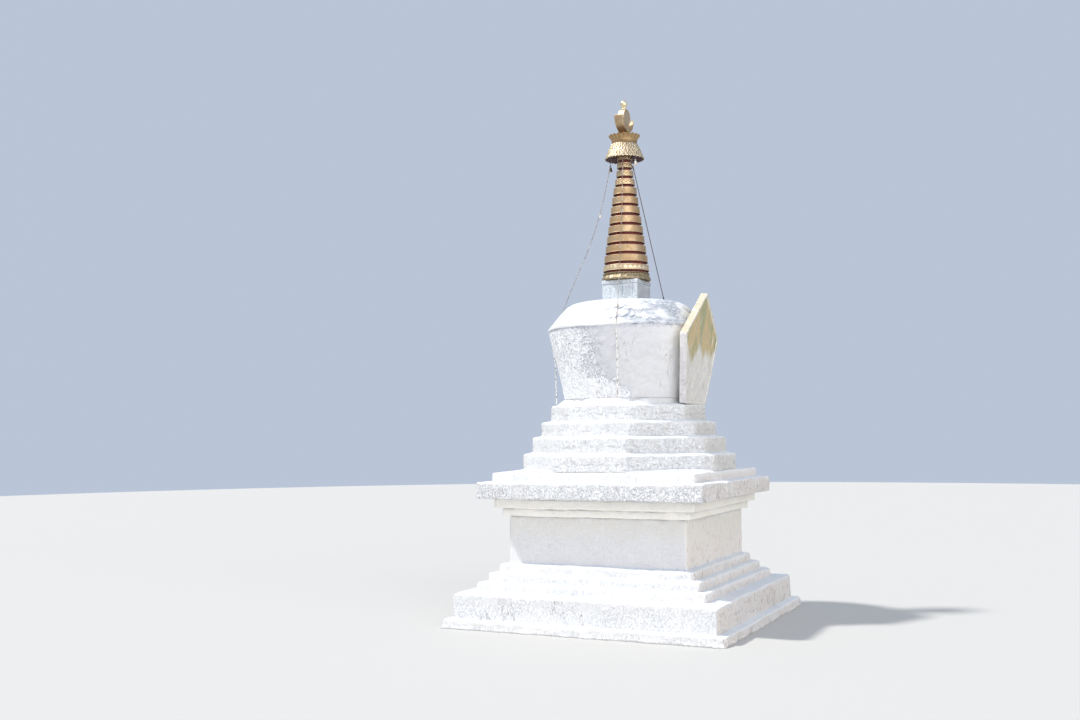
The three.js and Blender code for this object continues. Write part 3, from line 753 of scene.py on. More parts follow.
def leaves(angle, rise, count, tiers):
    """Height from 0 to 1 of small overlapping leaves that hang in tiers, each tier shifted round by its own
    share of a leaf. A leaf widens as the power 0.4 of the height over its tip and stands highest there;
    slow waves bend the tiers and change the leaves' widths, and each leaf has its own fullness."""
    level = rise * tiers + 0.30 * np.sin(5 * angle + 1.0) + 0.20 * np.sin(13 * angle + 9 * rise)
    tier = np.floor(level)
    up = level - tier
    shift = (43.7585 * np.sin(12.9898 * tier)) % 1
    turn = angle * count / (2 * math.pi) + shift + 0.45 * np.sin(4 * angle + 2.3 * tier)
    across = np.abs(turn % 1 - 0.5) * 2
    inside = np.clip(1 - across / (1.05 * up ** 0.4 + 1e-6), 0, 1)
    own = (437.585 * np.sin(78.233 * np.floor(turn) + 37.719 * tier)) % 1
    return np.clip(dome(inside) * (1 - 0.55 * up) * (0.45 + 0.55 * own), 0, 1)


def canopy_skirt(angle, share):
    """Relief of the skirt: tiers of small hanging leaves between a row of beads near the rim and a plain
    band at the top."""
    field = leaves(angle, share, 40, 8) * within(share, 0.07, 0.95)
    return np.maximum(field, beads(angle, share, CANOPY["scallops"] * 3, 0.04, 0.02))


def wire_ring(centre, radius, wire, across, turns=32, sides=8):
    """A ring of round wire: a circle of the wire's radius carried round a circle in the plane of the
    across direction and the upright."""
    around, about = angles(turns)[:, None], angles(sides)[None, :]
    normal = np.cross(across, UP)
    out = np.cos(around)[..., None] * across + np.sin(around)[..., None] * UP
    return np.asarray(centre) + out * (radius + wire * np.cos(about))[..., None] + (
        normal * (wire * np.sin(about))[..., None])


def rod(start, end, radius, sides=12, rows=6):
    """A straight round rod: circles of the radius square to the line between its ends."""
    run = (end - start) / np.linalg.norm(end - start)
    helper = UP if abs(run[2]) < 0.9 else np.array((1.0, 0, 0))
    one = np.cross(run, helper)
    one /= np.linalg.norm(one)
    two = np.cross(run, one)
    angle = angles(sides)[:, None]
    circle = np.cos(angle) * one + np.sin(angle) * two
    share = np.linspace(0, 1, rows)[:, None, None]
    return start + (end - start) * share + circle[None] * radius


def make_canopy(finish):
    """The skirt is one closed skin: up the embossed outside, over the flat top, and down the inside. Under
    it hang the two wire eyes of the bells."""
    rim, low, high, top, thick = (CANOPY[k] for k in ("rim", "low", "high", "top", "skin"))
    columns = CANOPY["scallops"] * 12
    outside = evenly(softened([(rim - 0.001, low), (rim - 0.006, low + 0.02), (0.352, low + 0.085),
                               (0.316, low + 0.175), (0.283, low + 0.25), (top, high)], 2), 0.0075)
    outer, raised = embossed(outside, columns, canopy_skirt, 0.015)
    inside = outside[::-1] - np.array((thick + 0.002, 0))
    inside[:, 1] = np.minimum(inside[:, 1], high - thick)
    inner, sunk = embossed(inside, columns, lambda a, s: canopy_skirt(a, 1 - s), -0.006)
    lid = turned([(top - 0.02, high), (0.10, high), (0.02, high), (0.02, high - thick), (0.10, high - thick),
                  (top - 0.03, high - thick)], columns)
    rows = np.concatenate([outer, lid, inner])
    fall = np.clip(1 - np.abs(rows[..., 2] - low) / 0.04, 0, 1)
    rows[..., 2] += 0.0075 * fall * np.cos(CANOPY["scallops"] * angles(columns))
    marks = np.concatenate([raised, np.zeros(lid.shape[:2]), sunk])
    # The inside takes the dark inside colour: partly dark red paint, partly painted shade
    lining_paint_and_shade = (np.arange(len(rows)) >= len(outer) + len(lid))[:, None]
    skins = [skin(rows, True, marks, lining_paint_and_shade)]
    for degrees in BELL_ANGLES.values():
        out = outward(degrees)
        middle = out * BELL_RADIUS + UP * EYE_MIDDLE
        eye = wire_ring(middle, EYE_RADIUS, EYE_WIRE, np.cross(UP, out))
        hanger = rod(middle + UP * EYE_RADIUS, out * BELL_RADIUS + UP * (low + 0.014), EYE_WIRE)
        skins += [skin(eye, True, rise=WIRE_PAINTED_SHADE), skin(hanger, rise=WIRE_PAINTED_SHADE)]
    make_piece("canopy_gilt", "canopy", finish, *skins)


def make_crown(finish):
    """An upright band of twenty petals whose pointed tips roll outwards, open at the top down to its
    floor. The tips' height falls off as the sine of half the turn across a petal, without sign."""
    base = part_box("crown")[0][2]
    count, columns = CROWN["petals"], CROWN["petals"] * 16
    foot, waist, lip, floor = (CROWN[k] for k in ("foot", "waist", "lip", "floor"))
    mid = (CROWN["tip"] + CROWN["valley"]) / 2
    outside = evenly(softened([(foot - 0.008, base), (foot, base + 0.008), (waist - 0.002, base + 0.03),
                               (waist, base + 0.06), (waist + 0.014, base + 0.10), (lip - 0.004, mid)], 2),
                     0.006)

    def pattern(angle, share):
        """Lappets on the upper part, and a raised line below them."""
        lappet = petals(angle, np.clip((share - 0.42) / 0.58, 0, 1) ** 1.6, count) * (share > 0.42)
        return np.maximum(0.45 * lappet, np.exp(-((share - 0.32) / 0.035) ** 2))

    outer, raised = embossed(outside, columns, pattern, 0.009)
    inner = turned([(lip - 0.012, mid), (waist + 0.004, base + 0.11), (waist - 0.012, floor + 0.004),
                    (waist - 0.02, floor), (0.03, floor)], columns)
    rows = np.concatenate([outer, inner])
    wave = (CROWN["tip"] - CROWN["valley"]) * (0.5 - np.abs(np.sin(count / 2 * angles(columns))))
    rise = np.clip((rows[..., 2] - (mid - 0.05)) / 0.05, 0, 1)
    rows[..., 2] += wave * rise * rise
    hollow = np.zeros(inner.shape[:2])
    # The inner face takes half the dark inside colour: painted shade in the crown's hollow
    depth = np.concatenate([np.zeros(outer.shape[:2]), hollow + 0.5])
    make_piece("crown_gilt", "crown", finish, skin(rows, False, np.concatenate([raised, hollow]), depth))


def squircle(turn, power):
    """A round section drawn towards a square: cos and sin raised to a power below one, signs kept."""
    cos, sin = np.cos(turn), np.sin(turn)
    return np.sign(cos) * np.abs(cos) ** power, np.sign(sin) * np.abs(sin) ** power


def make_moon(finish):
    """The crescent lies between the lower halves of two ellipses. At each step from tip to tip its section
    is a rounded oblong from the outer ellipse to the inner one, as wide as the crescent is thick. It stands
    on a turned foot."""
    turn = math.pi * (1 + np.linspace(0, 1, 97))[:, None]
    outer, inner = (np.concatenate([half * np.cos(turn), MOON["top"] + depth * np.sin(turn)], axis=-1)
                    for half, depth in ((MOON["half"], MOON["depth"]),
                                        (MOON["inner_half"], MOON["inner_depth"])))
    middle, half = (outer + inner) / 2, (outer - inner) / 2
    along, wide = squircle(angles(32), 0.3)
    across = middle[:, :1] + half[:, :1] * along
    rows = np.stack([across, np.broadcast_to(MOON["thick"] / 2 * wide, across.shape),
                     middle[:, 1:] + half[:, 1:] * along], axis=-1)
    rows = rows + grid_normals(rows) * (0.0008 * lumps(rows, 0.05))[..., None]
    near = np.abs(np.abs(along) - np.abs(wide)) < 0.2
    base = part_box("moon_crescent")[0][2]
    foot = turned(evenly(softened([(0.02, base), (0.092, base), (0.090, base + 0.02), (0.072, base + 0.05),
                                   (0.066, base + 0.10), (0.072, base + 0.15), (0.02, base + 0.155)], 2),
                         0.008), 64)
    make_piece("moon_crescent_gilt", "moon_crescent", finish, skin(rows, edge=near), skin(foot))


def make_sun(finish):
    """A drum turned about the Y axis, with a rolled rim and a shallow raised disc on each end."""
    radius, half, centre = SUN["radius"], SUN["thick"] / 2, SUN["centre"]
    end = [(0.03, half - 0.004), (0.10, half - 0.005), (0.118, half - 0.012), (0.132, half - 0.012),
           (0.146, half - 0.001), (0.160, half), (radius - 0.002, half - 0.01)]
    band = [(radius - 0.001, half * 0.7), (radius, 0), (radius - 0.001, -half * 0.7)]
    profile = evenly(softened(end + band + [(r, -y) for r, y in reversed(end)], 2), 0.009)
    rows = turned(profile, ROUND_SIDES // 2)
    rows = np.stack([rows[..., 0], rows[..., 2], rows[..., 1] + centre], axis=-1)
    off_middle = np.abs(profile[:, 1:])
    # Both end faces take part of the dark inside colour: painted shade, as on the end away from the key light
    near, ends = np.abs(off_middle - half + 0.004) < 0.006, 0.6 * (off_middle > half - 0.014)
    make_piece("sun_disc_gilt", "sun_disc", finish, skin(rows, False, near, ends))


def make_jewel(finish):
    """A full egg that ends in a soft point, on a short collar."""
    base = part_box("jewel")[0][2]
    profile = softened([(0.004, 0), (0.046, 0), (0.047, 0.012), (0.038, 0.018), (0.038, 0.042),
                        (0.056, 0.056), (0.069, 0.082), (0.073, 0.108), (0.068, 0.136), (0.053, 0.162),
                        (0.030, 0.182), (0.010, 0.191), (0.002, 0.192)], 3)
    rows = turned(profile, 64) + UP * base
    near = np.exp(-np.abs(rows[..., 2] - base - 0.012) / 0.006)
    make_piece("jewel_gilt", "jewel", finish, skin(rows, edge=near))


# Chains, guy wire and bells


def upright_route(route, degrees):
    """A route of distances and heights, set in the upright plane at an angle round the axis."""
    route = np.asarray(route)
    return outward(degrees) * route[:, :1] + UP * route[:, 1:]


def frames_along(path, spacing):
    """Places at even steps along a path, and the direction of the run at each."""
    lengths = np.concatenate([[0], np.cumsum(np.linalg.norm(np.diff(path, axis=0), axis=-1))])
    at = spacing * (np.arange(int(lengths[-1] / spacing)) + 0.5)
    places, ahead = (np.stack([np.interp(far, lengths, path[:, k]) for k in range(3)], axis=-1)
                     for far in (at, np.minimum(at + 0.01, lengths[-1])))
    run = ahead - places
    return places, run / np.linalg.norm(run, axis=-1, keepdims=True)


def chain_links(path, level):
    """Every link at once: a long loop of two straight sides and two round ends, with a thin round section
    carried along it; each link is turned a quarter round its neighbour. Below the ridge of the vase the
    links are thick with limewash. Level is the direction across the chain's plane. Returns the points, and
    how limewashed each link is."""
    places, run = frames_along(path, LINK["pitch"])
    coat = np.clip((RIDGE + 0.05 - places[:, 2]) / 0.05, 0, 1)
    other = np.cross(run, level)
    ends, sides = squircle(angles(10), 0.75)
    about = angles(4)[:, None]
    straight = (LINK["length"] / 2 - LINK["wire"]) * ends
    wide = (LINK["width"] / 2 - LINK["wire"]) * sides
    odd = (np.arange(len(places)) % 2)[:, None].astype(bool)
    cross, face = np.where(odd, level, other), np.where(odd, other, level)
    loop = run[:, None] * straight[:, None] + cross[:, None] * wide[:, None]
    outwards = loop / np.linalg.norm(loop, axis=-1, keepdims=True)
    tube = outwards[:, :, None] * np.cos(about) + face[:, None, None] * np.sin(about)
    wire = (LINK["wire"] * (1 + 1.3 * coat))[:, None, None, None]
    return places[:, None, None] + loop[:, :, None] + tube * wire, coat


def bell_rows(mouth, height, wall, sides=48):
    """A small bell that hangs from the origin, as one closed skin: over the crown, down the waist past a
    raised band to a flared lip, and up inside."""
    axis, band = 0.002, 0.80
    outside = softened([(axis, 0), (0.32 * mouth, -0.01 * height), (0.56 * mouth, -0.10 * height),
                        (0.64 * mouth, -0.35 * height), (0.74 * mouth, -0.68 * height),
                        (0.93 * mouth, -0.92 * height), (mouth, -height)], 2)
    outside[:, 0] += 0.018 * mouth * np.exp(-((outside[:, 1] + band * height) / (0.03 * height)) ** 2)
    inside = outside[::-1] - (wall, 0)
    inside[:, 1] = np.minimum(inside[:, 1], -wall)
    return turned(np.vstack([outside, inside[inside[:, 0] > axis]]), sides)


def chain_bells(path):
    """Small bells that hang from the chain at set heights, each on a ring round the chain."""
    skins, size = [], CHAIN_BELL
    for height in CHAIN_BELL_HEIGHTS:
        place = path[np.argmin(np.abs(path[:, 2] - height))]
        across = place * (1, 1, 0) / math.hypot(place[0], place[1])
        ring = wire_ring(place - UP * size["ring_below"], size["ring"], size["wire"], across, 24, 6)
        bell = bell_rows(size["mouth"], size["height"], size["wall"], 32) + (place - UP * size["below"])
        skins += [skin(ring, True, rise=CHAIN_BELL["lime"]), skin(bell, rise=CHAIN_BELL["lime"])]
    return skins


def make_chains(finish):
    """The three slack chains, with their links and their small bells."""
    for name, degrees in CHAIN_ANGLES.items():
        path = evenly(softened(upright_route(CHAIN_ROUTE, degrees), 1), 0.012)
        links, coat = chain_links(path, np.cross(UP, outward(degrees)))
        skins = [skin(link, True, rise=washed) for link, washed in zip(links, coat)]
        make_piece(f"{name}_links", name, finish, *skins, *chain_bells(path))


def make_guy(finish):
    """A taut strand: the section is a circle with seven shallow lobes that turn as it runs, and at each
    end it passes through a turned ferrule."""
    top, foot = upright_route([GUY["top"], GUY["foot"]], GUY["angle"])
    share = np.linspace(0, 1, GUY["rows"])[:, None]
    middle = (top + (foot - top) * share)[:, None]
    spoke = rod(top, foot, 1.0, GUY["sides"], GUY["rows"]) - middle
    radius = GUY["radius"] * (0.86 + 0.14 * np.abs(np.cos(3.5 * angles(GUY["sides"]) + 40 * share)))
    run = (foot - top) / np.linalg.norm(foot - top)
    ferrules = [skin(rod(end, end + run * step, 0.012, 20, 8)) for end, step in ((top, 0.09), (foot, -0.09))]
    strand = middle + spoke * radius[..., None]
    make_piece("guy_wire_strand", "guy_wire_front", finish, skin(strand), *ferrules)


def make_bells(finishes):
    """Each bell is a cup with a ring of its own through the eye above it."""
    for name, degrees in BELL_ANGLES.items():
        out = outward(degrees)
        ring_at = out * BELL_RADIUS + UP * (BELL_PIVOT - BELL_DROP)
        cup = bell_rows(BELL["mouth"], BELL["height"], BELL["wall"]) + (ring_at - UP * BELL["below"])
        lip = ring_at[2] - BELL["below"] - 0.080
        near = np.exp(-np.abs(cup[..., 2] - lip) / 0.004)
        loop = wire_ring(ring_at, BELL["ring"], BELL["wire"], out, 36, 10)
        make_piece(f"{name}_cast", name, finishes[name], skin(cup, edge=near), skin(loop, True), body=name)


# Nodes


class Value:
    """What a node gives out: a number, a vector or a colour. Arithmetic with it adds Math nodes."""

    def __init__(self, tree, socket):
        self.tree, self.socket = tree, socket

    def combined(self, operation, *values):
        """What a Math node makes of some values."""
        return add(self.tree, "ShaderNodeMath", dict(enumerate(values)), operation=operation)

    def __add__(self, other):
        return self.combined("ADD", self, other)

    def __sub__(self, other):
        return self.combined("SUBTRACT", self, other)

    def __rsub__(self, other):
        return self.combined("SUBTRACT", other, self)

    def __mul__(self, other):
        return self.combined("MULTIPLY", self, other)

    def __rtruediv__(self, other):
        return self.combined("DIVIDE", other, self)

    def __abs__(self):
        return self.combined("ABSOLUTE", self)

    def or_more(self, other):
        """The greater of two values."""
        return self.combined("MAXIMUM", self, other)

    def held(self):
        """The same value, which its own Math node holds between 0 and 1."""
        self.socket.node.use_clamp = True
        return self

    def ramped(self, low, high, to_low=0.0, to_high=1.0):
        """The value mapped from one range to another along a smooth curve, held at its ends."""
        return add(self.tree, "ShaderNodeMapRange", {0: self, 1: low, 2: high, 3: to_low, 4: to_high},
                   interpolation_type="SMOOTHSTEP")

    def mapped(self, **settings):
        """A vector scaled, turned and moved."""
        return add(self.tree, "ShaderNodeMapping", {"Vector": self, **settings})

    def noise(self, scale, detail=4.0, roughness=0.55, shift=(0.0, 0.0, 0.0)):
        """Noise at the place that a vector gives. A scale of three numbers draws it out along an axis."""
        if isinstance(scale, tuple):
            return self.mapped(Location=shift, Scale=scale).noise(1.0, detail, roughness)
        return add(self.tree, "ShaderNodeTexNoise",
                   {"Vector": self, "Scale": scale, "Detail": detail, "Roughness": roughness})

    def split(self):
        """A vector's three coordinates."""
        made = new_node(self.tree, "ShaderNodeSeparateXYZ", {0: self})
        return [Value(self.tree, socket) for socket in made.outputs]


def give(socket, value):
    """Links a socket to a value, or sets it to a number, a vector or an opaque colour."""
    if isinstance(value, Value):
        value.tree.links.new(value.socket, socket)
    else:
        socket.default_value = (*value, 1) if socket.type == "RGBA" else value


def new_node(tree, kind, inputs=None, **settings):
    """A node of that kind with its inputs given. Settings are its own properties."""
    made = tree.nodes.new(kind)
    for key, value in settings.items():
        setattr(made, key, value)
    for key, value in (inputs or {}).items():
        give(made.inputs[key], value)
    return made


def add(tree, kind, inputs=None, output=0, **settings):
    """One output of a new node."""
    return Value(tree, new_node(tree, kind, inputs, **settings).outputs[output])


def mixed(amount, first, second):
    """A colour between two others."""
    return add(amount.tree, "ShaderNodeMix", {0: amount, 6: first, 7: second}, 2, data_type="RGBA")


def bumped(height, distance, strength=1.0, over=None):
    """A normal bent by a height, over another bump where one is given."""
    inputs = {"Height": height, "Distance": distance, "Strength": strength}
    if over is not None:
        inputs["Normal"] = over
    return add(height.tree, "ShaderNodeBump", inputs)


def new_group(name, effect, **values):
    """A shader group for an effect. Its inputs are the place and the numbers named here, each with its
    first value, and its outputs are the masks and heights that the effect names."""
    group = bpy.data.node_groups.new(name, "ShaderNodeTree")
    group.interface.new_socket("Where", in_out="INPUT", socket_type="NodeSocketVector")
    for key, value in values.items():
        made = group.interface.new_socket(key, in_out="INPUT", socket_type="NodeSocketFloat")
        made.default_value = value
    given = new_node(group, "NodeGroupInput").outputs
    results = effect(*(Value(group, given[key]) for key in ("Where", *values)))
    for key in results:
        group.interface.new_socket(key, in_out="OUTPUT", socket_type="NodeSocketFloat")
    new_node(group, "NodeGroupOutput", results)
    return group


def use(group, where, **values):
    """Places a shader group in a material with that material's own values. Returns its outputs by name."""
    made = new_node(where.tree, "ShaderNodeGroup", {"Where": where, **values}, node_tree=group)
    return {socket.name: Value(where.tree, socket) for socket in made.outputs}


# Shared effects


def creases(where, size, width, cover):
    """Creases and pits under limewash: thin crooked lines where a noise crosses its middle value, worn away
    in places by a finer noise, broken up by a second one, and gathered in patches by a slow one. The
    height sinks along the lines."""
    scale = 1.0 / size
    line = abs(where.noise(scale, 2.8, 0.58) - 0.5).ramped(width * 0.3, width, 1.0, 0.0)
    breaks = where.mapped(Location=(4.0, 9.0, 2.0)).noise(scale * 1.4, 2.0, 0.5)
    level = 0.92 - cover * 0.3 - where.noise(1.6, 2.0, 0.5) * 0.55
    gate = breaks.ramped(level, level + 0.09)
    grain = where.noise(scale * 2.1, 4.0, 0.6)
    height = grain * 0.55 + (1.0 - line) * 0.45
    return {"Creases": (line * grain.ramped(0.36, 0.52) * gate).held(), "Height": height}


def rain_streaks(where, cover):
    """Upright rain streaks: noise squeezed across and drawn out in height, kept above a threshold, and
    broken by a slower noise."""
    wide = where.noise((9.0, 9.0, 1.1), 4.0, 0.6)
    thin = where.noise((38.0, 38.0, 3.4), 3.0, 0.6, (3, 7, 1))
    level = 0.74 - cover * 0.26
    field = wide * 0.55 + thin * 0.45 + (where.noise(1.3, 2.0) - 0.5) * 0.3
    return {"Streaks": field.ramped(level, level + 0.16)}


def worn_edges(where, edge, scale, amount):
    """Wear along an edge: the mesh's own edge mark, broken up by noise at the size of a thumb."""
    return {"Wear": (edge * where.noise(scale, 5.0, 0.65).ramped(0.38, 0.62) * amount).held()}


def cloudy_tone(where, scale):
    """Slow cloudy changes of tone in two sizes, from 0 to 1."""
    tone = where.noise(scale, 3.0, 0.5) * 0.65 + where.noise(scale * 6.0, 4.0, 0.6) * 0.35
    return {"Tone": tone.ramped(0.34, 0.66)}


CREASES = new_group("Creases in limewash", creases, Size=0.045, Width=0.05, Cover=0.5)
STREAKS = new_group("Rain streaks", rain_streaks, Cover=0.4)
WORN = new_group("Worn edges", worn_edges, Edge=0.0, Scale=14.0, Amount=0.6)
CLOUDS = new_group("Cloudy tone", cloudy_tone, Scale=1.5)


# Finishes


def new_material(name):
    """An empty material, its Principled shader, and its object coordinates."""
    material = bpy.data.materials.new(name)
    material.use_nodes = True
    tree = material.node_tree
    tree.nodes.clear()
    shader = new_node(tree, "ShaderNodeBsdfPrincipled")
    new_node(tree, "ShaderNodeOutputMaterial", {"Surface": Value(tree, shader.outputs[0])})
    return material, shader, add(tree, "ShaderNodeTexCoord", output="Object")


def feed(shader, **sockets):
    """Links or sets the shader's sockets; an underscore in a key stands for a space."""
    for key, value in sockets.items():
        give(shader.inputs[key.replace("_", " ")], value)


def mark(tree, key):
    """The mesh's own mark, from 0 to 1."""
    return add(tree, "ShaderNodeAttribute", output="Fac", attribute_name=key)


def facing(tree):
    """How far the surface faces along X, along Y and upwards, each from 0 to 1."""
    x, y, z = add(tree, "ShaderNodeNewGeometry", output="Normal").split()
    return abs(x), abs(y), z.or_more(0.0)


# Tints of lime and of its stains, and of the light and shade painted on it

FRESH_LIME = (0.97, 0.97, 0.97)
CLEAN_LIME = (0.87, 0.865, 0.855)
# Painted light thrown back from the niche onto the vase
PAINTED_BOUNCE_LIGHT = (0.84, 0.84, 0.85)
# Painted shade from the sky on level tops
TOP_PAINTED_SKY_SHADE = (0.62, 0.68, 0.75)
WARM_CREAM = (0.95, 0.87, 0.74)
BRUSHED_GREY = (0.68, 0.62, 0.58)
# Grey wall of the vase, darker than the lime: partly bare wall, partly painted shade
GREY_WALL_AND_SHADE = (0.69, 0.68, 0.67)
BLUE_GREY_WALL_AND_SHADE = (0.71, 0.71, 0.735)
WALL_STROKES = (0.56, 0.54, 0.53)
# Painted shade between the drops on the sunward side of the vase
SUNWARD_PAINTED_SHADE = (0.56, 0.575, 0.65)
# Painted shade in the creases of the limewash
CREASE_PAINTED_SHADE = (0.34, 0.35, 0.41)
# Painted shade under the ridge of the vase
LIP_PAINTED_SHADE = (0.50, 0.50, 0.58)
BROWN_FLECK = (0.46, 0.33, 0.25)
CHIPPED = (0.30, 0.26, 0.23)
SPLIT = (0.34, 0.30, 0.28)
SEAM_GREY = (0.44, 0.41, 0.42)
RAIN_GREY = (0.29, 0.33, 0.38)
# Grey smear marks that are partly painted shade
SMEAR_AND_PAINTED_SHADE = (0.29, 0.33, 0.39)
# Painted shadow under the edges of the hanging lobes
LOBE_RIM_PAINTED_SHADOW = (0.30, 0.33, 0.40)
# Painted bluish shadow along the foot of a wall
FOOT_PAINTED_SHADOW = (0.60, 0.68, 0.80)
# Warmer cream of the upper wall
UPPER_WARM_CREAM = (0.80, 0.765, 0.67)
DAMP_BLOT = (0.30, 0.31, 0.34)


def limewash(name, light=(0.88, 0.88, 0.88), cream=(0.87, 0.775, 0.69), crease_shade=0.4, size=0.042, width=0.055,
             cover=0.5, dashes=0.35, streaks=0.0, flecks=0.0, brushed=0.0, seam=0.0, foot_shadow_and_stain=0.0,
             warm=0.0, smears_and_shade=0.0, cracks=0.0, lip=0.0, splashed=0.0, bump=0.006):
    """Limewash over rubble. Its creases are painted grey-violet as the shade that falls in them, most on
    faces along X; faces along Y are painted creamier and darker, partly a cream tint of the lime and partly
    painted shade; tops are painted a little blue as shade from the sky. Faces along Y have short upright
    dashes where chips fell out. Edges are worn to clean lime. Each other effect has its own share: rain
    streaks, brown flecks, brush strokes, a seam round the middle of the wall, a foot with a painted bluish
    shadow line and dark blots under a warmer cream upper wall, warm patches, grey smear marks that are partly
    painted shade, with painted shadows under the edges of hanging lobes, upright cracks, and a rough violet
    band of painted shade under a lip. Splashed limewash is thrown over a grey wall that is darker than the
    lime, partly as
    painted shade: thick and rough on the sunward side and low down, where the wall between the drops is
    painted violet as shade, and thinning out to bare wall elsewhere, which is painted lighter towards -Y as
    light thrown back from the niche."""
    material, shader, where = new_material(name)
    along_x, along_y, upwards = facing(where.tree)
    edge, rise = mark(where.tree, "edge"), mark(where.tree, "rise")
    tone = use(CLOUDS, where, Scale=1.1)["Tone"]
    creased = use(CREASES, where, Size=size, Width=width, Cover=cover)
    sideways = 1.0 - upwards * 0.8
    front = along_y.ramped(0.6, 0.95)

    # Faces along Y are painted creamier and darker: partly a cream tint of the lime, partly painted shade of
    # the -Y side, the same on both Y sides
    colour = mixed(front * tone.ramped(0.0, 1.0, 0.55, 1.0), light, cream)
    colour = mixed(tone * 0.3, colour, [0.93 * c for c in light])
    # Tops painted a little blue in places: painted shade from the sky
    colour = mixed(upwards.ramped(0.75, 0.97) * tone.ramped(0.0, 1.0, 0.3, 0.6), colour, TOP_PAINTED_SKY_SHADE)
    if warm:
        patches = where.noise((2.2, 2.2, 5.0), 4.0, 0.6).ramped(0.40, 0.66)
        colour = mixed(patches * warm, colour, WARM_CREAM)
    if brushed:
        strokes = where.mapped(Rotation=(0.25, -0.25, 0.0)).noise((9.0, 9.0, 34.0), 4.0, 0.65)
        colour = mixed(strokes.ramped(0.50, 0.70) * brushed, colour, BRUSHED_GREY)
    # Where the creases take painted shade: most on faces along X, where the key light grazes, less on faces
    # along Y, least on tops
    crease_shade_reach = sideways * along_x.ramped(0.1, 0.9, 0.5, 1.0)
    if splashed:
        _, across, height = where.split()
        low = height.ramped(*LOW_WALL, 0.62, 0.0)
        # The sunward side of the vase, towards +Y, and low on the wall: the drops are thick and rough there,
        # and the wall between them is painted violet as shade
        sunward_side = (across + low + (where.noise(2.6, 4.0, 0.6) - 0.5) * 1.6).ramped(-0.45, 0.75)
        crease_shade_reach = crease_shade_reach * sunward_side
        # A grey wall darker than the lime: partly bare wall, partly painted shade of the side away from the
        # key light
        colour = mixed(tone, GREY_WALL_AND_SHADE, BLUE_GREY_WALL_AND_SHADE)
        strokes = where.mapped(Rotation=(0.6, -0.6, 0.0)).noise((5.0, 5.0, 20.0), 5.0, 0.7)
        colour = mixed(strokes.ramped(0.44, 0.66) * 0.45, colour, WALL_STROKES)
        # The wall painted lighter towards -Y: painted light thrown back from the niche plate
        colour = mixed(across.ramped(*PAINTED_BOUNCE_SPAN, 0.0, 0.75), colour, PAINTED_BOUNCE_LIGHT)
        # The wall between the drops painted violet: the shade of its rough relief
        colour = mixed(sunward_side, colour, SUNWARD_PAINTED_SHADE)
        foot = height.ramped(*WALL_FOOT, 0.20, 0.0)
        drops = (where.noise(26.0, 5.0, 0.68) + sunward_side * 0.255 + foot * sunward_side).ramped(0.645, 0.685)
        colour = mixed(drops * splashed, colour, FRESH_LIME)
    # The creases painted grey-violet: the shade that falls in them
    shaded_creases = creased["Creases"] * crease_shade_reach
    colour = mixed(shaded_creases * crease_shade, colour, CREASE_PAINTED_SHADE)
    if flecks:
        spots = where.noise(24.0, 4.0, 0.7).ramped(0.60, 0.70) * where.noise(0.9, 2.0).ramped(0.45, 0.60)
        colour = mixed(spots * sideways * flecks, colour, BROWN_FLECK)
    if dashes:
        upright = where.noise((34.0, 34.0, 9.0), 2.5, 0.6, (5.0, 1.0, 3.0))
        colour = mixed(upright.ramped(0.60, 0.67) * (front * sideways) * dashes, colour, CHIPPED)
    if streaks:
        rain = use(STREAKS, where, Cover=0.85)["Streaks"]
        colour = mixed(rain * (sideways * streaks), colour, RAIN_GREY)
    if cracks:
        wander = where.noise((1.5, 1.5, 0.35), 5.0, 0.62, (3.0, 8.0, 0.0))
        split = abs(wander - 0.5).ramped(0.001, 0.0045, 1.0, 0.0) * where.noise(1.1, 2.0).ramped(0.48, 0.58)
        colour = mixed(split * sideways * cracks, colour, SPLIT)
    if seam:
        at = rise + (where.noise((5.0, 5.0, 1.0), 3.0, 0.6) - 0.5) * 0.75
        line = abs(at - 0.5).ramped(0.015, 0.075, 1.0, 0.0)
        broken = where.noise((6.0, 6.0, 2.0), 3.0, shift=(2.0, 0.0, 0.0)).ramped(0.46, 0.60)
        colour = mixed(line * broken * sideways * seam, colour, SEAM_GREY)
    if foot_shadow_and_stain:
        # A painted bluish shadow line along the foot, dark blots near it, and a warmer cream upper wall
        low = (rise + where.noise((9.0, 9.0, 3.0), 4.0, 0.6) * 0.09).ramped(0.06, 0.15, 1.0, 0.0)
        colour = mixed(low * foot_shadow_and_stain, colour, FOOT_PAINTED_SHADOW)
        colour = mixed(rise.ramped(0.35, 1.0, 0.0, 0.6) * foot_shadow_and_stain, colour, UPPER_WARM_CREAM)
        colour = mixed(where.noise(15.0, 3.0, 0.6).ramped(0.60, 0.66) * low * 0.8, colour, DAMP_BLOT)
    if smears_and_shade:
        # Grey smear marks, most towards -Y on faces along Y: partly smeared dirt, partly painted shade of the
        # side away from the key light
        patches = where.noise((1.3, 1.3, 2.6), 3.0, 0.6, (4.0, 0.0, 2.0)).ramped(0.28, 0.50)
        marks = where.noise((11.0, 11.0, 34.0), 6.0, 0.72)
        toward_minus_y = where.split()[1].ramped(-0.2, 0.5, 1.0, 0.35) * along_y.ramped(0.16, 0.42)
        colour = mixed(marks.ramped(0.30, 0.58) * patches * toward_minus_y * smears_and_shade, colour, SMEAR_AND_PAINTED_SHADE)
        # Painted shadows under the edges of the hanging lobes
        lobe_shadows = (rise * marks.ramped(0.35, 0.60, 0.5, 1.0)).held()
        colour = mixed(lobe_shadows * smears_and_shade, colour, LOBE_RIM_PAINTED_SHADOW)
    if lip:
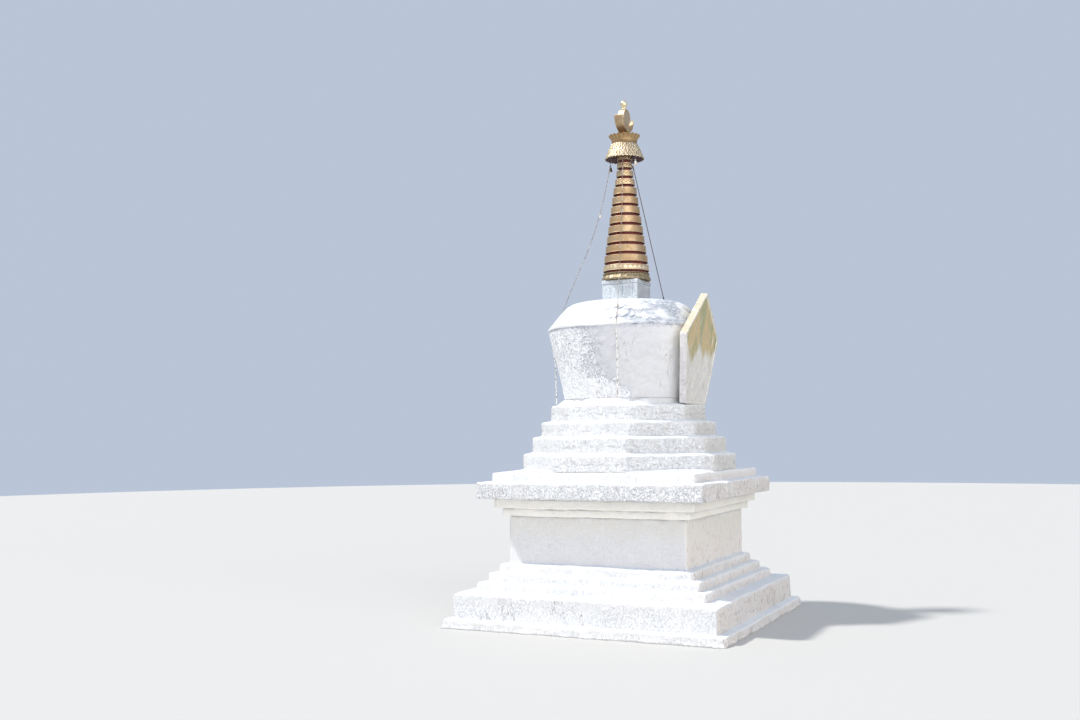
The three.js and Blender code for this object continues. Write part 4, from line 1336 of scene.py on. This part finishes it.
        # A rough violet band under the lip: painted shade
        band = edge.ramped(0.04, 0.45) * where.noise(19.0, 4.0, 0.65).ramped(0.40, 0.56)
        colour = mixed(band * lip, colour, LIP_PAINTED_SHADE)
    else:
        worn = use(WORN, where, Edge=edge, Scale=9.0, Amount=0.7)["Wear"]
        colour = mixed(worn, colour, CLEAN_LIME)

    grain = where.noise(160.0, 4.0, 0.6)
    bristles = where.noise((120.0, 120.0, 14.0), 3.0, 0.55)
    depth = upwards.ramped(0.3, 0.9, 1.0, 0.45)
    if splashed:
        coarse = bumped(creased["Height"], bump, depth * sunward_side.ramped(0.0, 1.0, 0.2, 1.0))
        coarse = bumped(drops, 0.006, 0.8, coarse)
    else:
        coarse = bumped(creased["Height"], bump, depth)
    fine = bumped(grain + bristles, 0.0015, 0.7, coarse)
    rough = (shaded_creases + grain * 0.3).ramped(0.0, 1.0, 0.84, 0.97)
    feed(shader, Base_Color=colour, Roughness=rough, Normal=fine, Specular_IOR_Level=0.25)
    return material, "whitewash"


def niche_plaster(name, stain_share):
    """Cream-grey plaster, scratched and pitted, with painted shade in its creases. High on the front an ochre
    and olive stain runs down in drips that end at uneven heights; the top copings are pale cream and the
    sides pinkish white."""
    material, shader, where = new_material(name)
    along_x, along_y, upwards = facing(where.tree)
    tone = use(CLOUDS, where, Scale=3.0)["Tone"]
    creased = use(CREASES, where, Size=0.05, Width=0.05, Cover=0.3)
    worn = use(WORN, where, Edge=mark(where.tree, "edge"), Scale=16.0, Amount=0.7)["Wear"]
    rain = use(STREAKS, where, Cover=0.45)["Streaks"]

    ground = mixed(tone, (0.70, 0.675, 0.63), (0.60, 0.575, 0.53))
    drip = where.noise((2.6, 1.0, 0.2), 1.0, 0.5)
    stained = (where.split()[2] + (drip - 0.5)).ramped(STAIN_LINE - 0.10, STAIN_LINE + 0.12)
    patches = where.noise((4.0, 4.0, 1.4), 5.0, 0.6).ramped(0.42, 0.56)
    stain = mixed(patches, (0.52, 0.40, 0.21), (0.33, 0.33, 0.17))
    colour = mixed(stained * (along_y.ramped(0.5, 0.9) * stain_share), ground, stain)
    sides = mixed(tone, (0.80, 0.77, 0.76), (0.66, 0.62, 0.64))
    colour = mixed(along_x.ramped(0.45, 0.8), colour, sides)
    copings = mixed(tone, (0.67, 0.61, 0.48), (0.58, 0.52, 0.39))
    colour = mixed(upwards.ramped(0.3, 0.6), colour, copings)
    # Creases painted darker: painted shade in them
    colour = mixed(creased["Creases"] * 0.3, colour, (0.33, 0.30, 0.26))
    colour = mixed(rain * 0.18, colour, (0.30, 0.28, 0.24))
    tipped = where.mapped(Rotation=(0.0, -0.4, 0.0))
    scrape = tipped.noise((22.0, 6.0, 5.0), 4.0, 0.6).ramped(0.50, 0.68)
    colour = mixed(scrape * 0.45, colour, (0.40, 0.37, 0.32))
    scratch = tipped.noise((26.0, 8.0, 2.2), 2.0, 0.4, (7.0, 0.0, 3.0)).ramped(0.66, 0.73)
    colour = mixed(scratch * 0.8, colour, (0.84, 0.82, 0.78))
    colour = mixed(worn, colour, (0.80, 0.77, 0.69))
    coarse = bumped(creased["Height"], 0.003, 0.8)
    fine = bumped(where.noise(120.0, 5.0, 0.6), 0.0012, 0.7, coarse)
    feed(shader, Base_Color=colour, Roughness=tone.ramped(0.0, 1.0, 0.78, 0.94), Normal=fine,
         Specular_IOR_Level=0.3)
    return material, "niche_plaster"


def gilt(name, tarnish=0.3, raised=False, base=(0.57, 0.42, 0.255), other=(0.47, 0.32, 0.17),
         deep=(0.30, 0.14, 0.06), inside=(0.085, 0.030, 0.022), dots=0.0, rough=0.46):
    """Fire-gilt copper sheet. Hollows of the relief are tarnished reddish brown, raised parts are rubbed
    bright, and the sheet is faintly dented. Where the mesh marks an inside, it turns dark red and loses its
    metal, partly as dark paint and partly as painted shade, with a share of pale dots."""
    material, shader, where = new_material(name)
    edge, depth = mark(where.tree, "edge"), mark(where.tree, "rise")
    tone = use(CLOUDS, where, Scale=5.0)["Tone"]
    worn = use(WORN, where, Edge=edge, Scale=30.0, Amount=0.8)["Wear"]
    rain = use(STREAKS, where, Cover=0.5)["Streaks"]
    hollow = edge.ramped(0.05, 0.55, 1.0, 0.0) if raised else tone
    spots = where.noise(26.0, 5.0, 0.65).ramped(0.55, 0.75)
    dull = ((hollow * 0.85).or_more(spots) * tarnish + rain * (0.25 * tarnish)).held()
    colour = mixed(tone * 0.7, base, other)
    colour = mixed(dull, colour, deep)
    colour = mixed(worn * 0.6, colour, [min(1.0, 1.25 * c + 0.05) for c in base])
    # How far a place takes the dark inside colour and loses its metal: partly dark paint, partly painted
    # shade
    inside_paint_and_shade = depth.ramped(0.0, 0.95)
    if dots:
        inside = mixed(where.noise(42.0, 2.0, 0.5).ramped(0.60, 0.66) * dots, inside, (0.62, 0.56, 0.50))
    colour = mixed(inside_paint_and_shade, colour, inside)
    shine = (tone.ramped(0.0, 1.0, rough, rough + 0.10) + dull.or_more(inside_paint_and_shade) * 0.3).held()
    dents = bumped(where.noise(11.0, 2.0, 0.5), 0.004, 0.35)
    fine = bumped(where.noise((60.0, 60.0, 240.0), 3.0), 0.0005, 0.4, dents)
    feed(shader, Base_Color=colour, Metallic=1.0 - inside_paint_and_shade, Roughness=shine, Normal=fine)
    return material, "gilt_copper"


def red_core(name):
    """Dark red paint, dusty and flaked."""
    material, shader, where = new_material(name)
    tone = use(CLOUDS, where, Scale=7.0)["Tone"]
    flakes = where.noise(34.0, 5.0, 0.65).ramped(0.60, 0.68)
    colour = mixed(tone, (0.13, 0.018, 0.015), (0.21, 0.032, 0.026))
    colour = mixed(flakes * 0.5, colour, (0.07, 0.05, 0.045))
    feed(shader, Base_Color=colour, Roughness=tone.ramped(0.0, 1.0, 0.5, 0.72),
         Normal=bumped(where.noise(60.0), 0.001, 0.6))
    return material, "dark_red_core"


def galvanised(name, zinc=(0.52, 0.43, 0.32), dark=(0.27, 0.21, 0.155), lime=0.55):
    """Weathered steel: dull zinc with patches of rust and splashes of lime, and thick with lime where the
    mesh marks it. Only bare zinc is metallic."""
    material, shader, where = new_material(name)
    tone = use(CLOUDS, where, Scale=9.0)["Tone"]
    rust = where.noise(14.0, 4.0, 0.6).ramped(0.46, 0.58)
    splash = where.noise(8.0, 3.0, 0.6).ramped(0.54, 0.62)
    washed = mark(where.tree, "rise") * where.noise(22.0, 3.0).ramped(0.41, 0.48)
    white = (splash * lime).or_more(washed)
    colour = mixed(rust * 0.85, mixed(tone, zinc, dark), (0.17, 0.08, 0.045))
    colour = mixed(white, colour, (0.97, 0.96, 0.92))
    bare = (1.0 - rust.or_more(white)).held()
    feed(shader, Base_Color=colour, Metallic=bare * 0.3,
         Roughness=rust.or_more(splash).ramped(0.0, 1.0, 0.42, 0.85),
         Normal=bumped(where.noise(150.0, 3.0), 0.0006, 0.5))
    return material, "steel_chain"


def bronze(name, metal, shade):
    """Cast bronze, rubbed at the lip, with a trace of green. The two colours mix in clouds."""
    material, shader, where = new_material(name)
    tone = use(CLOUDS, where, Scale=16.0)["Tone"]
    worn = use(WORN, where, Edge=mark(where.tree, "edge"), Scale=60.0, Amount=1.0)["Wear"]
    green = where.noise(40.0, 4.0, 0.6).ramped(0.60, 0.72)
    colour = mixed(green * 0.3, mixed(tone, metal, shade), (0.22, 0.32, 0.25))
    colour = mixed(worn, colour, (0.85, 0.70, 0.45))
    feed(shader, Base_Color=colour, Metallic=0.95,
         Roughness=green.or_more(tone).ramped(0.0, 1.0, 0.32, 0.58),
         Normal=bumped(where.noise(90.0, 3.0), 0.0006, 0.5))
    return material, "bell_bronze"


def make_floor():
    """A wide plain disc at ground level, one pale tone."""
    material = bpy.data.materials.new("pale_floor")
    material.use_nodes = True
    feed(material.node_tree.nodes["Principled BSDF"], Base_Color=(0.55, 0.54, 0.52), Roughness=0.9)
    rim = turned([(60.0, -0.001)], 96)[0]
    mesh = bpy.data.meshes.new("floor")
    mesh.from_pydata(rim.tolist(), [], [list(range(len(rim)))])
    mesh.materials.append(material)
    floor = bpy.data.objects.new("floor", mesh)
    bpy.context.collection.objects.link(floor)


def masonry_finishes():
    """The limewash of each tier. Tiers whose names start alike share one."""
    kinds = {
        "ground_plinth": limewash("limewash_ground", crease_shade=0.45, cover=0.75, flecks=0.6, dashes=0.8,
                                  cracks=0.2, bump=0.016),
        "base_plinth": limewash("limewash_base", light=(0.86, 0.86, 0.865), crease_shade=0.5, dashes=1.0,
                                cracks=0.8, flecks=0.3, bump=0.016),
        "base_step": limewash("limewash_steps", light=(0.84, 0.84, 0.845), cream=(0.84, 0.745, 0.66),
                              crease_shade=0.5, cover=0.45, size=0.05, dashes=1.0, flecks=0.4, bump=0.014),
        "throne_block": limewash("limewash_block", light=(0.775, 0.765, 0.77), cream=(0.85, 0.765, 0.67),
                                 crease_shade=0.22, cover=0.3, dashes=0.6, brushed=0.5, foot_shadow_and_stain=0.8),
        # The corbels' near-white is partly painted light, thrown up onto their shaded faces
        "corbel": limewash("limewash_corbels", light=(0.99, 0.965, 0.895), cream=(0.96, 0.90, 0.79),
                           crease_shade=0.2, cover=0.3, brushed=0.08, warm=0.25),
        "cornice_slab": limewash("limewash_cornice", crease_shade=0.72, cover=0.95, size=0.046, width=0.07,
                                 dashes=0.9, cracks=0.6, bump=0.024),
        "cornice_upper": limewash("limewash_upper_step", crease_shade=0.45, cover=0.35, dashes=0.5, bump=0.014),
        "octagon": limewash("limewash_tiers", light=(0.87, 0.87, 0.87), cream=(0.69, 0.645, 0.575),
                            crease_shade=0.6, cover=0.6, seam=0.5, dashes=0.5, bump=0.018)}
    return {name: finish for name in TIERS for start, finish in kinds.items() if name.startswith(start)}


set_camera()
set_light()
make_floor()
make_tiers(masonry_finishes())
make_vase(limewash("limewash_vase", crease_shade=0.14, cover=0.7, size=0.06, dashes=0.0, cracks=0.7, lip=0.55,
                   splashed=0.95, bump=0.026),
          limewash("limewash_shoulder", light=(0.86, 0.86, 0.86), crease_shade=0.35, cover=0.35, dashes=0.0,
                   smears_and_shade=1.0, bump=0.012))
# Its faces along Y are painted dark grey: partly grey plaster, partly painted shade of the -Y side, the same
# on both Y sides
make_harmika(limewash("limewash_harmika", light=(0.66, 0.71, 0.74), cream=(0.35, 0.35, 0.35), crease_shade=0.9,
                      cover=0.9, size=0.035, dashes=0.2, streaks=1.3))
make_niche(niche_plaster("niche_plate_stained", 0.95), niche_plaster("niche_border_stained", 0.55))
make_rings({
    "plain": gilt("gilt_rings", tarnish=0.25),
    "lappets": gilt("gilt_lowest_ring", tarnish=0.45, raised=True, base=(0.86, 0.73, 0.52)),
    "scrolls": gilt("gilt_scrolled_rings", tarnish=0.75, raised=True, base=(0.78, 0.60, 0.38), rough=0.36)})
make_lotus(gilt("gilt_lotus", tarnish=0.8, raised=True, base=(0.36, 0.295, 0.19), other=(0.30, 0.23, 0.14),
                deep=(0.12, 0.07, 0.035)))
make_core(red_core("core_red_paint"))
# The canopy's pale gilt is partly painted sunlight on its skirt
make_canopy(gilt("gilt_canopy", tarnish=0.9, raised=True, base=(0.80, 0.69, 0.50), other=(0.68, 0.55, 0.37),
                 deep=(0.17, 0.10, 0.06), inside=(0.12, 0.075, 0.085), dots=0.8, rough=0.38))
# The crown's darker gilt is painted shade: the dark surroundings that it reflects from below
make_crown(gilt("gilt_crown", tarnish=0.5, raised=True, base=(0.49, 0.36, 0.19), other=(0.40, 0.28, 0.14)))
make_moon(gilt("gilt_moon", base=(0.56, 0.43, 0.27), other=(0.46, 0.34, 0.20)))
make_sun(gilt("gilt_sun", tarnish=0.2, base=(0.84, 0.70, 0.46), other=(0.70, 0.54, 0.32),
              inside=(0.13, 0.095, 0.075)))
make_jewel(gilt("gilt_jewel", tarnish=0.12, base=(0.92, 0.84, 0.62), other=(0.80, 0.68, 0.42), rough=0.26))
make_chains(galvanised("chain_galvanised"))
make_guy(galvanised("guy_strand", zinc=(0.10, 0.10, 0.105), dark=(0.06, 0.06, 0.062), lime=0.0))
# One bronze in two copies: the back bell painted dark as shade, the front one pale as painted sunlit glints
make_bells({"bell_back": bronze("bell_bronze_painted_shade", (0.16, 0.14, 0.12), (0.07, 0.06, 0.055)),
            "bell_front": bronze("bell_bronze_painted_light", (0.95, 0.90, 0.84), (0.80, 0.72, 0.62))})
